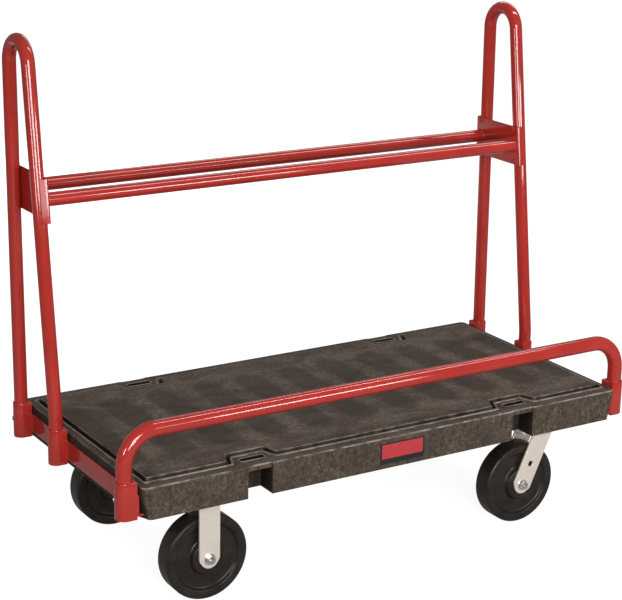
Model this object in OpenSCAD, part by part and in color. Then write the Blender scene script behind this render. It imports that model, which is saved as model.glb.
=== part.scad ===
// Drywall cart: a ribbed plastic deck on four casters, with two leaning tube frames
// joined by cross tubes along the rear and a low rail along the front.
// +X runs along the deck towards the swivel casters, +Y towards the leaning frames,
// +Z up. The origin is on the floor under the middle of the deck.

/* [Deck] */
// Length of the deck moulding
deck_l = 1310; // [1150:10:1500]
// Width of the deck moulding
deck_w = 641; // [600:1:760]
// Height of the deck from the skirt's lower edge to the outer ledge
deck_h = 76; // [66:1:100]
// Radius of the deck's corners in plan
corner_r = 14; // [4:1:20]
// Thickness of the top skin
skin_t = 13; // [11:1:18]
// Thickness of the skirt
skirt_t = 12; // [8:1:16]
// How far each end of the skirt tapers in at its foot
skirt_taper = 14; // [0:1:20]
// Thickness of the ribs under the skin
rib_t = 6; // [4:1:10]
// Widest spacing of the ribs
rib_pitch = 125; // [90:1:130]

/* [Deck rim] */
// Width of the outer ledge along the long sides
ledge_w = 24; // [18:1:30]
// Width of the outer ledge along the ends
end_ledge_w = 14; // [8:1:18]
// Width of the raised ridge inside the ledge
ridge_w = 7; // [4:1:12]
// Height of the ridge above the ledge
ridge_rise = 2.5; // [1:0.5:5]
// Width of the groove inside the ridge
groove_w = 7; // [4:1:12]
// Depth of the groove below the ledge
groove_d = 5; // [3:0.5:7]
// Height of the load field above the ledge
field_rise = 7; // [3:0.5:9]

/* [Tie-down slots] */
// Distance from the deck's end to the middle of a slot
slot_end_in = 290; // [286:1:340]
// Length of a slot and of the notch in the skirt below it
slot_l = 62; // [40:1:72]
// Width of a slot
slot_w = 18; // [12:1:21]
// Distance from the deck's side to the slot
slot_in = 31; // [26:1:36]
// How far the lip over a notch lies behind the skirt's face
lip_in = 3; // [1:0.5:6]
// How far the ridge and groove step inwards to pass a slot
bay_in = 38; // [34:1:46]
// How far that step reaches past each end of the slot
bay_side = 9; // [4:1:14]
// Length of its sloping part
bay_run = 10; // [6:1:20]

/* [Wheels] */
// Diameter of a wheel
wheel_d = 203; // [180:1:210]
// Width of the tread
wheel_w = 51; // [44:1:56]
// Diameter of the raised hub
hub_d = 76; // [56:1:90]
// How far the hub stands out past each side of the tread
hub_proud = 2.5; // [1:0.5:5]
// Thickness of the dished web between hub and rim
wheel_web = 32; // [24:1:40]
// Width of the rim's side face
rim_face = 20; // [10:1:24]
// Outer diameter of the roller bearing in the hub
bearing_d = 34; // [30:1:42]
// Diameter of the bush that the bearing turns on
bush_d = 19; // [17:0.5:24]
// Diameter of the axle bolt
axle_d = 12.5; // [10:0.5:14]

/* [Casters] */
// Height of a caster from the floor to the face it bolts to
caster_h = 251; // [245:1:275]
// Distance from the deck's end to the middle of a caster's plate
caster_end_in = 191; // [150:1:194]
// Distance from the deck's side to the middle of a wheel
caster_side_in = 85.5; // [80:0.5:110]
// Distance from the swivel axis back to the axle
swivel_lead = 47; // [35:1:60]
// Length of a caster's top plate
plate_l = 140; // [134:1:150]
// Width of a caster's top plate
plate_w = 112; // [108:1:118]
// Thickness of a top plate
plate_t = 6; // [5:0.5:8]
// Thickness of the fork metal
fork_t = 6; // [4:0.5:7]
// Width of a rigid fork's leg
rigid_leg_w = 52; // [44:1:58]
// Width of a swivel fork's leg
swivel_leg_w = 54; // [46:1:58]
// How far the top of a swivel fork's legs stands ahead of the swivel axis
leg_top_x = 12; // [0:1:14]
// Radius of the rounded end of a fork's leg
leg_end_r = 23; // [20:0.5:24]
// Diameter of the swivel race
race_d = 104; // [96:1:108]
// Diameter of the swivel balls
ball_d = 9; // [8:0.5:11]
// Number of balls in a race
ball_count = 18; // [12:1:20]
// Diameter of the kingpin
kingpin_d = 16; // [14:0.5:18]
// Side of the square hole in a swivel fork's leg
lock_hole = 13; // [8:1:15]
// Distance of that hole from the axle
lock_hole_up = 56; // [44:1:70]
// Diameter of the bolts that hold the casters
caster_bolt_d = 9.5; // [8:0.5:10]
// Distance of those bolts from the edges of a top plate
caster_bolt_edge = 14; // [12:0.5:16]

/* [Tube frames] */
// Overall height of the leaning frames above the floor
frame_h = 1220; // [1080:10:1350]
// Outer diameter of the frame tubes and cross tubes
tube_d = 32; // [28:0.5:36]
// Wall of every tube
tube_wall = 2; // [1.5:0.25:3]
// Distance from the deck's rear side to the rear legs
rear_leg_in = 43.5; // [36:0.5:65]
// Distance from the rear legs to the front legs, at their sockets
leg_spread = 203; // [190:1:230]
// Backward lean of the rear legs
rear_lean = 0.9; // [0.2:0.1:1.5]
// Backward lean of the front legs
front_lean = 7.7; // [5:0.1:8]
// Height above the socket at which a leg starts to lean
lean_start = 20; // [5:1:60]
// Radius of the small bend at the foot of a leg
foot_bend = 120; // [60:5:200]
// Height of the cross tubes above the floor
cross_h = 858; // [700:1:900]
// Height of the brackets at the ends of the cross tubes
bracket_h = 100; // [80:1:120]
// Thickness of the bracket metal
bracket_t = 3; // [2:0.5:4]
// Length of the bracket flanges that wrap the legs
bracket_flange = 19; // [12:1:24]
// Distance of each bracket screw from the bracket's upper or lower edge
bracket_screw_edge = 8; // [8:0.5:12]
// Diameter of the bracket and socket screws
screw_d = 6; // [4:0.5:7]

/* [Front rail] */
// Outer diameter of the rail tube
rail_d = 36; // [30:0.5:40]
// Height of the rail's top above the floor
rail_h = 462; // [450:1:600]
// Radius of the rail's bends at the tube's centre line
rail_bend = 75; // [55:1:80]
// Distance from the deck's front side to the rail
rail_in = 36.5; // [30:0.5:60]

/* [End channels and sockets] */
// Thickness of the end channel's metal
channel_t = 4; // [3:0.5:6]
// Height of the end channel's web
channel_h = 49; // [40:1:52]
// Distance from the foot of the skirt to the channel's lower face
channel_lift = 8; // [6:1:12]
// Width of the flange that turns under the deck
channel_flange = 60; // [54:1:80]
// Height of a socket
socket_h = 86; // [78:1:110]
// Wall of a socket
socket_t = 3; // [2.5:0.5:4]
// Direction of the socket screws, turned from straight out towards the rear
socket_screw_turn = 40; // [20:1:50]
// Diameter of the bolts that hold the channels
channel_bolt_d = 8; // [6:0.5:10]
// Distance of the outer channel bolts from the deck's centre line
channel_bolt_y = 200; // [150:1:220]

/* [Clearances] */
// Radial clearance of a tube, bolt or bush in its hole
fit = 0.25; // [0.2:0.05:0.4]
// Radial clearance of a turning pair
run = 0.05; // [0.03:0.01:0.09]
// Axial clearance between turning faces
side_gap = 0.3; // [0.25:0.05:0.6]
// Gap between a hub and a fork's leg
hub_gap = 1; // [0.6:0.1:2]

/* [Hidden] */
$fn = 96;
red = [0.74, 0.12, 0.10];
moulded_black = [0.22, 0.19, 0.18];
zinc = [0.76, 0.74, 0.71];
phenolic = [0.09, 0.08, 0.08];
steel = [0.55, 0.55, 0.56];

// Deck levels and edges
skirt_z = caster_h;
ledge_z = skirt_z + deck_h;
skin_z = ledge_z - skin_t;
half_l = deck_l / 2;
half_w = deck_w / 2;
inner_side = ledge_w + ridge_w;
inner_end = end_ledge_w + ridge_w;
bay_slope = atan2(bay_in, bay_run);
slot_x = half_l - slot_end_in;
notch_over = 4;
notch_d = slot_in + slot_w + notch_over;

// How far a cutting shape reaches past the face it cuts
cut = 1;

// Heads and nuts, as multiples of their bolt's or screw's diameter
hex_ratio = 1.5;
round_head_ratio = 1.9;
pan_head_ratio = 2;
pan_head_flatness = 0.55;

// How far a thread stands out past its nut, how far a blind hole reaches past its bolt,
// and the room round a sunk head
thread_over = 3;
hole_over = 2;
head_room = 3;

// End channel and socket levels
flange_z = skirt_z + channel_lift;
web_x = half_l + channel_t;
boss_wall = 14;
boss_w = channel_bolt_d + 2 * boss_wall;
channel_bolt_x = half_l - channel_flange / 2;
channel_bolt_ys = [-1, 0, 1] * channel_bolt_y;
channel_bolt_grip = 28;
channel_bolt_head = 5;
socket_top = skirt_z + socket_h;
socket_screw_z = skirt_z + socket_h / 2;

// Where the tubes stand across the deck, and outside its end
rear_leg_y = half_w - rear_leg_in;
front_leg_y = rear_leg_y - leg_spread;
rail_y = rail_in - half_w;
function tube_x(d) = web_x + socket_t + fit + d / 2;
function socket_r(d) = d / 2 + fit + socket_t;
frame_x = tube_x(tube_d);
rail_x = tube_x(rail_d);
tube_foot = skirt_z + socket_t;
channel_y0 = rail_y - socket_r(rail_d);
channel_y1 = rear_leg_y + socket_r(tube_d);

// Sides of a swept tube, and the widest step round its bends in degrees
tube_sides = 24;
bend_step = 10;

// Leaning legs: each leaves its socket upright, bends a little, and runs straight
lean_z = socket_top + lean_start;
function foot_rise(lean) = foot_bend * tan(lean / 2);
function leg_y(y0, lean, z) = y0 + tan(lean) * (z - lean_z - foot_rise(lean));
function rear_y(z) = leg_y(rear_leg_y, rear_lean, z);
function front_y(z) = leg_y(front_leg_y, front_lean, z);
frame_top_z = frame_h - tube_d / 2;
closing = tan(front_lean) - tan(rear_lean);
top_bend = (rear_y(frame_top_z) - front_y(frame_top_z))
    / (1 / cos(rear_lean) + 1 / cos(front_lean) - closing);
top_z = frame_top_z - top_bend;
function leg_run(lean, z) = (z - lean_z - foot_bend * sin(lean)) / cos(lean);

// Bracket and cross tubes
bracket_x = frame_x - tube_d / 2 - fit;
bracket_lo = cross_h - bracket_h / 2;
bracket_hi = cross_h + bracket_h / 2;
bracket_in = tube_d / 2 + fit;
cross_half = bracket_x - bracket_t;
bracket_screw_zs = [bracket_lo + bracket_screw_edge, bracket_hi - bracket_screw_edge];
screw_head_d = screw_d * pan_head_ratio;
screw_head_h = screw_d * pan_head_flatness;
screw_grip = 10;

// Casters
caster_x = half_l - caster_end_in;
caster_y = half_w - caster_side_in;
wheel_r = wheel_d / 2;
hub_l = wheel_w + 2 * hub_proud;
dish_slope = 5;
rim_sink = 1.5;
tread_edge = 4;
fork_in = hub_l / 2 + hub_gap;
fork_out = fork_in + fork_t;
plate_z = caster_h - plate_t;
crown_top = plate_z - ball_d - side_gap - run;
crown_z = crown_top - fork_t;
rake = atan2(leg_top_x + swivel_lead, crown_top - wheel_r);
rake_l = (crown_top - wheel_r) / cos(rake) + swivel_leg_w;
crown_l = swivel_leg_w / cos(rake) - 2 * fork_t * tan(rake);
tip_drop = 3;
race_w = 6;
race_gap = 1;
ball_margin = 2;
ball_ring_r = race_d / 2 - race_w - ball_margin - ball_d / 2;
kingpin_head_d = kingpin_d * round_head_ratio;
kingpin_head_h = 5;
kingpin_nut_af = kingpin_d * hex_ratio;
kingpin_nut_h = 9;
kingpin_end = crown_z - side_gap - kingpin_nut_h - thread_over;
axle_hex_af = axle_d * hex_ratio;
axle_head_h = 8;
axle_nut_h = 10;
axle_end = fork_out + axle_nut_h + thread_over;
caster_bolt_x = plate_l / 2 - caster_bolt_edge;
caster_bolt_y = plate_w / 2 - caster_bolt_edge;
caster_bolt_head = 6;
caster_bolt_grip = 28;
caster_spots = [for (x = [-1, 1], y = [-1, 1]) [x * caster_x, y * caster_y]];
pad_margin = 4;

// Placing helpers: which end of the deck, and which wheel
module at_end(side) mirror([side < 0 ? 1 : 0, 0, 0]) children();
module at_row(side) mirror([0, side > 0 ? 1 : 0, 0]) children();
module at_rigid(side) at_row(side) translate([-caster_x, -caster_y, 0]) children();
module at_swivel(side) at_row(side) translate([caster_x, -caster_y, 0]) children();
module at_rigid_axle(side) at_rigid(side) translate([0, 0, wheel_r]) children();
module at_swivel_axle(side) at_swivel(side) translate([-swivel_lead, 0, wheel_r]) children();

// Shared shapes
module along_y() rotate([-90, 0, 0]) children();
module hex_bar(af, h) cylinder(d = af / cos(30), h = h, $fn = 6);

module rounded_rect(l, w, r) {
    square([l - 2 * r, w], center = true);
    square([l, w - 2 * r], center = true);
    for (x = [-1, 1], y = [-1, 1])
        translate([x * (l / 2 - r), y * (w / 2 - r)]) circle(r);
}

module ring(d, wall) difference() {
    circle(d = d);
    circle(d = d - 2 * wall);
}

// A tube bent at right angles: each step runs straight along +Z and then turns towards +Y
module square_bent_tube(runs, d, wall, radius, i = 0) {
    linear_extrude(runs[i]) ring(d, wall);
    if (i < len(runs) - 1)
        translate([0, 0, runs[i]]) {
            translate([0, radius, 0]) rotate([90, 0, -90]) rotate_extrude(angle = 90)
                translate([radius, 0]) ring(d, wall);
            translate([0, radius, radius]) rotate([-90, 0, 0])
                square_bent_tube(runs, d, wall, radius, i + 1);
        }
}

// Rings along a path in the YZ plane: each step [length, turn, radius] runs straight at a
// heading measured from +Z towards +Y, and then turns. A ring is [centre, heading].
function heading_dir(h) = [sin(h), cos(h)];
function heading_side(h) = [cos(h), -sin(h)];
function path_rings(steps, from, h, i = 0) = i == len(steps) ? [] :
    let (
        turn = steps[i][1],
        reach = sign(turn) * steps[i][2],
        end = from + steps[i][0] * heading_dir(h),
        centre = end + reach * heading_side(h),
        count = ceil(abs(turn) / bend_step),
        arc = [for (k = [1:1:count])
            let (a = h + turn * k / count)
            [centre - reach * heading_side(a), a]],
        last = count > 0 ? arc[count - 1] : [end, h]
    )
    concat(i == 0 ? [[from, h]] : [], [[end, h]], arc, path_rings(steps, last[0], last[1], i + 1));

function ring_points(rings, r) = [for (ring = rings, k = [0:tube_sides - 1])
    let (t = k * 360 / tube_sides, side = heading_side(ring[1]) * r * sin(t))
    [r * cos(t), ring[0].x + side.x, ring[0].y + side.y]];

// A hollow tube swept along such a path
module swept_tube(steps, from, d, wall) {
    rings = path_rings(steps, from, 0);
    n = tube_sides;
    inner = len(rings) * n;
    tail = inner - n;
    next = [for (k = [0:n - 1]) (k + 1) % n];
    walls = [for (j = [0:len(rings) - 2], k = [0:n - 1], low = [j * n], high = [j * n + n]) each [
        [low + k, high + k, high + next[k]], [low + k, high + next[k], low + next[k]],
        [inner + low + k, inner + high + next[k], inner + high + k],
        [inner + low + k, inner + low + next[k], inner + high + next[k]]
    ]];
    ends = [for (k = [0:n - 1]) each [
        [k, next[k], inner + next[k]], [k, inner + next[k], inner + k],
        [tail + k, inner + tail + next[k], tail + next[k]],
        [tail + k, inner + tail + k, inner + tail + next[k]]
    ]];
    points = concat(ring_points(rings, d / 2), ring_points(rings, d / 2 - wall));
    polyhedron(points, concat(walls, ends));
}

// Outline of the deck at a given distance in from its sides and ends, stepping in at each slot.
// The step widens with that distance, so that the ridge and the groove keep their width on its slopes.
function bay_half(side) = slot_l / 2 + bay_side + (side - ledge_w) * tan(bay_slope / 2);
function bay_points(x, side, dir) = let (y = -dir * (half_w - side), half = bay_half(side)) [
    [x - dir * (half + bay_run), y],
    [x - dir * half, y + dir * bay_in],
    [x + dir * half, y + dir * bay_in],
    [x + dir * (half + bay_run), y]
];
function side_points(side, end, dir) = concat(
    [[-dir * (half_l - end), -dir * (half_w - side)]],
    bay_points(-dir * slot_x, side, dir),
    bay_points(dir * slot_x, side, dir),
    [[dir * (half_l - end), -dir * (half_w - side)]]
);
module inset_outline(side, end) polygon(concat(side_points(side, end, 1), side_points(side, end, -1)));

// Ribs that divide a length into equal cells no wider than the pitch
function rib_places(l) = let (n = ceil(l / rib_pitch)) [for (i = [1:n - 1]) -l / 2 + i * l / n];

module deck_ribs() {
    rib_h = skin_z - skirt_z;
    for (x = rib_places(deck_l))
        translate([x - rib_t / 2, -half_w + skirt_t / 2, skirt_z])
            cube([rib_t, deck_w - skirt_t, rib_h]);
    for (y = rib_places(deck_w))
        translate([-half_l + skirt_t / 2, y - rib_t / 2, skirt_z])
            cube([deck_l - skirt_t, rib_t, rib_h]);
}

module deck_pads() {
    pad_l = plate_l + 2 * pad_margin;
    pad_w = plate_w + 2 * pad_margin;
    for (spot = caster_spots)
        translate([spot.x - pad_l / 2, spot.y - pad_w / 2, skirt_z])
            cube([pad_l, pad_w, skin_z - skirt_z]);
    for (x = [-1, 1], y = channel_bolt_ys)
        translate([x * channel_bolt_x - boss_w / 2, y - boss_w / 2, skirt_z])
            cube([boss_w, boss_w, skin_z - skirt_z]);
}

module deck_holes() {
    channel_hole = channel_lift + channel_t + channel_bolt_grip + hole_over;
    for (spot = caster_spots, x = [-1, 1], y = [-1, 1])
        translate([spot.x + x * caster_bolt_x, spot.y + y * caster_bolt_y, skirt_z - cut])
            cylinder(d = caster_bolt_d + 2 * fit, h = caster_bolt_grip + hole_over + cut);
    for (y = [-1, 1])
        translate([caster_x, y * caster_y, skirt_z - cut])
            cylinder(d = kingpin_head_d + 2 * head_room, h = kingpin_head_h + head_room + cut);
    for (x = [-1, 1], y = channel_bolt_ys)
        translate([x * channel_bolt_x, y, skirt_z - cut])
            cylinder(d = channel_bolt_d + 2 * fit, h = channel_hole + cut);
}

// Walls of the pocket behind each notch
module tie_down_pockets() {
    for (x = [-1, 1], y = [-1, 1])
        translate([x * slot_x - slot_l / 2 - rib_t, 0, 0]) at_row(y)
            translate([0, -half_w, skirt_z])
                cube([slot_l + 2 * rib_t, notch_d + rib_t, skin_z - skirt_z]);
}

// Each slot opens into the pocket, which opens through the skirt below a lip
module tie_down_cuts() {
    for (x = [-1, 1], y = [-1, 1])
        translate([x * slot_x - slot_l / 2, 0, 0]) at_row(y) {
            translate([0, -half_w + slot_in, skin_z - cut])
                cube([slot_l, slot_w, skin_t + 2 * cut]);
            translate([0, -half_w - cut, skirt_z - cut])
                cube([slot_l, notch_d + cut, skin_z - skirt_z + cut]);
            translate([0, -half_w - cut, skin_z - cut])
                cube([slot_l, lip_in + cut, skin_t + 2 * cut]);
        }
}

// The skirt's ends slope in at the foot, and the deck's ends are cut back over the channel flanges
module deck_end_cuts() {
    for (x = [-1, 1]) at_end(x) {
        translate([half_l - channel_flange, -half_w + skirt_t, skirt_z - cut])
            cube([channel_flange + cut, deck_w - 2 * skirt_t, channel_lift + channel_t + cut]);
        for (y = [-1, 1]) at_row(y)
            translate([0, -half_w + skirt_t, 0]) rotate([90, 0, 0]) linear_extrude(skirt_t + cut)
                polygon([[half_l - skirt_taper, skirt_z - cut], [half_l + cut, skirt_z - cut],
                    [half_l + cut, skin_z], [half_l, skin_z]]);
    }
}

module deck() color(moulded_black) difference() {
    union() {
        translate([0, 0, skin_z]) linear_extrude(skin_t) rounded_rect(deck_l, deck_w, corner_r);
        translate([0, 0, skirt_z]) linear_extrude(skin_z - skirt_z) difference() {
            rounded_rect(deck_l, deck_w, corner_r);
            square([deck_l - 2 * skirt_t, deck_w - 2 * skirt_t], center = true);
        }
        translate([0, 0, ledge_z]) linear_extrude(ridge_rise) difference() {
            inset_outline(ledge_w, end_ledge_w);
            inset_outline(inner_side, inner_end);
        }
        translate([0, 0, ledge_z]) linear_extrude(field_rise)
            inset_outline(inner_side + groove_w, inner_end + groove_w);
        deck_ribs();
        deck_pads();
        tie_down_pockets();
    }
    translate([0, 0, ledge_z - groove_d]) linear_extrude(groove_d + cut) difference() {
        inset_outline(inner_side, inner_end);
        inset_outline(inner_side + groove_w, inner_end + groove_w);
    }
    tie_down_cuts();
    deck_end_cuts();
    deck_holes();
}

// End channel: an angle whose web covers the deck's end and whose flange turns under it
module end_channel() color(red) difference() {
    translate([half_l - channel_flange, channel_y0, flange_z]) {
        cube([channel_flange + channel_t, channel_y1 - channel_y0, channel_t]);
        translate([channel_flange, 0, 0]) cube([channel_t, channel_y1 - channel_y0, channel_h]);
    }
    for (y = channel_bolt_ys)
        translate([channel_bolt_x, y, flange_z - cut])
            cylinder(d = channel_bolt_d + 2 * fit, h = channel_t + 2 * cut);
}

// Socket: a round nose with flat flanks back to the channel's web, closed at the foot
module screw_hole(d, y) translate([tube_x(d), y, socket_screw_z]) rotate([0, 90, socket_screw_turn])
    cylinder(d = screw_d + 2 * fit, h = socket_r(d) + cut);

module socket(d, y, screwed) color(red) difference() {
    union() {
        translate([tube_x(d), y, skirt_z]) cylinder(r = socket_r(d), h = socket_h);
        translate([web_x, y - socket_r(d), skirt_z]) cube([socket_r(d), 2 * socket_r(d), socket_h]);
    }
    translate([tube_x(d), y, tube_foot]) cylinder(d = d + 2 * fit, h = socket_h);
    if (screwed) screw_hole(d, y);
}

module socket_screw(d, y) translate([tube_x(d), y, socket_screw_z]) rotate([0, 90, socket_screw_turn]) {
    translate([0, 0, d / 2 - screw_grip]) cylinder(d = screw_d, h = screw_grip + fit + socket_t);
    translate([0, 0, socket_r(d)]) cylinder(d = screw_head_d, h = screw_head_h);
}

module socket_screws() color(zinc) for (x = [-1, 1]) at_end(x) {
    socket_screw(tube_d, rear_leg_y);
    socket_screw(rail_d, rail_y);
}

// Leaning frame: one tube from the front socket up, over the top and down to the rear socket
module a_frame() color(red) difference() {
    foot_run = lean_z - tube_foot;
    front_run = leg_run(front_lean, top_z + top_bend * sin(front_lean));
    rear_run = leg_run(rear_lean, top_z - top_bend * sin(rear_lean));
    translate([frame_x, 0, 0]) swept_tube([
        [foot_run, front_lean, foot_bend],
        [front_run, 180 + rear_lean - front_lean, top_bend],
        [rear_run, -rear_lean, foot_bend],
        [foot_run, 0, 0]
    ], [front_leg_y, tube_foot], tube_d, tube_wall);
    screw_hole(tube_d, rear_leg_y);
    at_bracket_screws() cylinder(d = screw_d + 2 * fit, h = tube_d / 2);
}

// Bracket: a plate on the inner side of the two legs, with a flange round the outside of each
module at_bracket_screws() for (z = bracket_screw_zs, y = [front_y(z), rear_y(z)])
    translate([bracket_x, y, z]) rotate([0, 90, 0]) children();

module bracket_outline(room, over) {
    lo = bracket_lo - over;
    hi = bracket_hi + over;
    polygon([
        [front_y(lo) - room / cos(front_lean), lo], [rear_y(lo) + room / cos(rear_lean), lo],
        [rear_y(hi) + room / cos(rear_lean), hi], [front_y(hi) - room / cos(front_lean), hi]
    ]);
}

module bracket() color(red) difference() {
    translate([bracket_x - bracket_t, 0, 0]) rotate([90, 0, 90])
        linear_extrude(bracket_t + bracket_flange) bracket_outline(bracket_in + bracket_t, 0);
    translate([bracket_x, 0, 0]) rotate([90, 0, 90])
        linear_extrude(bracket_flange + cut) bracket_outline(bracket_in, cut);
    at_bracket_screws() translate([0, 0, -bracket_t - cut])
        cylinder(d = screw_d + 2 * fit, h = bracket_t + 2 * cut);
}

module bracket_screws() color(red) for (x = [-1, 1]) at_end(x) at_bracket_screws() {
    translate([0, 0, -bracket_t - screw_head_h]) cylinder(d = screw_head_d, h = screw_head_h);
    translate([0, 0, -bracket_t]) cylinder(d = screw_d, h = bracket_t + screw_grip);
}

module cross_tube(y) color(red) translate([-cross_half, y, cross_h]) rotate([0, 90, 0])
    linear_extrude(2 * cross_half) ring(tube_d, tube_wall);

// Front rail: one tube with two bends, standing in the front sockets
module front_rail() color(red) difference() {
    upright = rail_h - rail_d / 2 - rail_bend - tube_foot;
    translate([-rail_x, rail_y, tube_foot]) rotate([0, 0, -90])
        square_bent_tube([upright, 2 * (rail_x - rail_bend), upright], rail_d, tube_wall, rail_bend);
    for (x = [-1, 1]) at_end(x) screw_hole(rail_d, rail_y);
}

// Fork legs: straight sided, with the end narrowed to a rounded tip round the axle
function tip_turn(w) = acos(leg_end_r / norm([w / 2, tip_drop])) + atan2(tip_drop, w / 2);
module leg_outline(w, up) {
    a = tip_turn(w);
    tip = [leg_end_r * cos(a), -leg_end_r * sin(a)];
    circle(leg_end_r);
    polygon([[-w / 2, up], [w / 2, up], [w / 2, -tip_drop], tip, [-tip.x, tip.y], [-w / 2, -tip_drop]]);
}

// Both legs of a fork, standing on the axle, from an outline in the plane of the wheel
module leg_pair() for (y = [-1, 1])
    translate([0, y * (fork_in + fork_t / 2) + fork_t / 2, wheel_r]) rotate([90, 0, 0])
        linear_extrude(fork_t) children();

module axle_hole() translate([0, -fork_out - cut, wheel_r]) along_y()
    cylinder(d = axle_d + 2 * fit, h = 2 * (fork_out + cut));

module plate_holes() for (x = [-1, 1], y = [-1, 1])
    translate([x * caster_bolt_x, y * caster_bolt_y, plate_z - cut])
        cylinder(d = caster_bolt_d + 2 * fit, h = plate_t + 2 * cut);

module top_plate() translate([-plate_l / 2, -plate_w / 2, plate_z]) cube([plate_l, plate_w, plate_t]);

module rigid_fork() color(zinc) difference() {
    union() {
        top_plate();
        leg_pair() leg_outline(rigid_leg_w, plate_z + plate_t / 2 - wheel_r);
    }
    axle_hole();
    plate_holes();
}

// Swivel top plate: carries the kingpin and the ring that covers the balls
module swivel_plate() color(zinc) difference() {
    union() {
        top_plate();
        translate([0, 0, crown_top + race_gap]) linear_extrude(plate_z - crown_top - race_gap + plate_t / 2)
            ring(race_d, race_w);
    }
    translate([0, 0, plate_z - cut]) cylinder(d = kingpin_d + 2 * fit, h = plate_t + 2 * cut);
    plate_holes();
}

// Swivel fork: a round crown under the balls, with legs raked back to the axle
module swivel_fork() color(zinc) difference() {
    union() {
        translate([0, 0, crown_z]) cylinder(d = race_d, h = fork_t);
        translate([leg_top_x - crown_l / 2, -fork_out, crown_z]) cube([crown_l, 2 * fork_out, fork_t]);
        translate([-swivel_lead, 0, 0]) leg_pair() intersection() {
            rotate(-rake) difference() {
                leg_outline(swivel_leg_w, rake_l);
                translate([0, lock_hole_up]) square(lock_hole, center = true);
            }
            translate([-wheel_d, -wheel_d]) square([2 * wheel_d, wheel_d + crown_top - wheel_r]);
        }
    }
    translate([-swivel_lead, 0, 0]) axle_hole();
    translate([0, 0, crown_z - cut]) cylinder(d = kingpin_d + 2 * run, h = fork_t + 2 * cut);
}

module kingpin() color(steel) {
    translate([0, 0, caster_h]) cylinder(d = kingpin_head_d, h = kingpin_head_h);
    translate([0, 0, kingpin_end]) cylinder(d = kingpin_d, h = caster_h - kingpin_end);
}

module kingpin_nut() color(steel) translate([0, 0, crown_z - side_gap - kingpin_nut_h]) difference() {
    hex_bar(kingpin_nut_af, kingpin_nut_h);
    translate([0, 0, -cut]) cylinder(d = kingpin_d + 2 * run, h = kingpin_nut_h + 2 * cut);
}

module swivel_balls() color(steel) for (i = [0:ball_count - 1])
    rotate(i * 360 / ball_count)
        translate([ball_ring_r, 0, crown_top + run + ball_d / 2]) sphere(d = ball_d);

// Wheel: a solid moulded wheel with a dished web between hub and rim
module wheel() color(phenolic) rotate([90, 0, 0]) rotate_extrude() {
    hub_r = hub_d / 2;
    rim_r = wheel_r - rim_face;
    bore_r = bearing_d / 2 + run;
    half = [
        [bore_r, hub_l / 2],
        [hub_r, hub_l / 2],
        [hub_r + dish_slope, wheel_web / 2],
        [rim_r - dish_slope, wheel_web / 2],
        [rim_r, wheel_w / 2 - rim_sink],
        [wheel_r - tread_edge, wheel_w / 2],
        [wheel_r, wheel_w / 2 - tread_edge]
    ];
    polygon(concat(half, [for (i = [len(half) - 1:-1:0]) [half[i].x, -half[i].y]]));
}

module bearing() color(steel) rotate([90, 0, 0]) translate([0, 0, -hub_l / 2]) linear_extrude(hub_l)
    ring(bearing_d, (bearing_d - bush_d) / 2 - run);

module bush() color(steel) rotate([90, 0, 0]) translate([0, 0, -fork_in]) linear_extrude(2 * fork_in)
    ring(bush_d, (bush_d - axle_d) / 2 - fit);

module axle() color(zinc) along_y() {
    translate([0, 0, fork_out]) hex_bar(axle_hex_af, axle_head_h);
    translate([0, 0, -axle_end]) cylinder(d = axle_d, h = axle_end + fork_out);
}

module axle_nut() color(zinc) along_y() translate([0, 0, -fork_out - axle_nut_h]) difference() {
    hex_bar(axle_hex_af, axle_nut_h);
    translate([0, 0, -cut]) cylinder(d = axle_d + 2 * run, h = axle_nut_h + 2 * cut);
}

module channel_bolts() color(zinc) for (x = [-1, 1]) at_end(x) for (y = channel_bolt_ys)
    translate([channel_bolt_x, y, flange_z]) {
        translate([0, 0, -channel_bolt_head]) hex_bar(channel_bolt_d * hex_ratio, channel_bolt_head);
        cylinder(d = channel_bolt_d, h = channel_t + channel_bolt_grip);
    }

module caster_bolts() color(zinc) for (spot = caster_spots, x = [-1, 1], y = [-1, 1])
    translate([spot.x + x * caster_bolt_x, spot.y + y * caster_bolt_y, plate_z]) {
        translate([0, 0, -caster_bolt_head]) hex_bar(caster_bolt_d * hex_ratio, caster_bolt_head);
        cylinder(d = caster_bolt_d, h = plate_t + caster_bolt_grip);
    }

deck();
at_end(-1) end_channel();  // left_end_channel
at_end(1) end_channel();  // right_end_channel
at_end(-1) socket(tube_d, rear_leg_y, true);  // left_rear_leg_socket
at_end(-1) socket(tube_d, front_leg_y, false);  // left_front_leg_socket
at_end(-1) socket(rail_d, rail_y, true);  // left_rail_socket
at_end(1) socket(tube_d, rear_leg_y, true);  // right_rear_leg_socket
at_end(1) socket(tube_d, front_leg_y, false);  // right_front_leg_socket
at_end(1) socket(rail_d, rail_y, true);  // right_rail_socket
at_end(-1) a_frame();  // left_a_frame
at_end(1) a_frame();  // right_a_frame
at_end(-1) bracket();  // left_bracket
at_end(1) bracket();  // right_bracket
cross_tube(front_y(cross_h));  // front_cross_tube
cross_tube(rear_y(cross_h));  // rear_cross_tube
front_rail();
at_rigid(-1) rigid_fork();  // front_rigid_fork
at_rigid(1) rigid_fork();  // rear_rigid_fork
at_swivel(-1) swivel_plate();  // front_swivel_plate
at_swivel(1) swivel_plate();  // rear_swivel_plate
at_swivel(-1) swivel_fork();  // front_swivel_fork
at_swivel(1) swivel_fork();  // rear_swivel_fork
at_swivel(-1) kingpin();  // front_kingpin
at_swivel(1) kingpin();  // rear_kingpin
at_swivel(-1) kingpin_nut();  // front_kingpin_nut
at_swivel(1) kingpin_nut();  // rear_kingpin_nut
at_swivel(-1) swivel_balls();  // front_swivel_balls
at_swivel(1) swivel_balls();  // rear_swivel_balls
at_rigid_axle(-1) wheel();  // front_rigid_wheel
at_rigid_axle(1) wheel();  // rear_rigid_wheel
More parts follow.
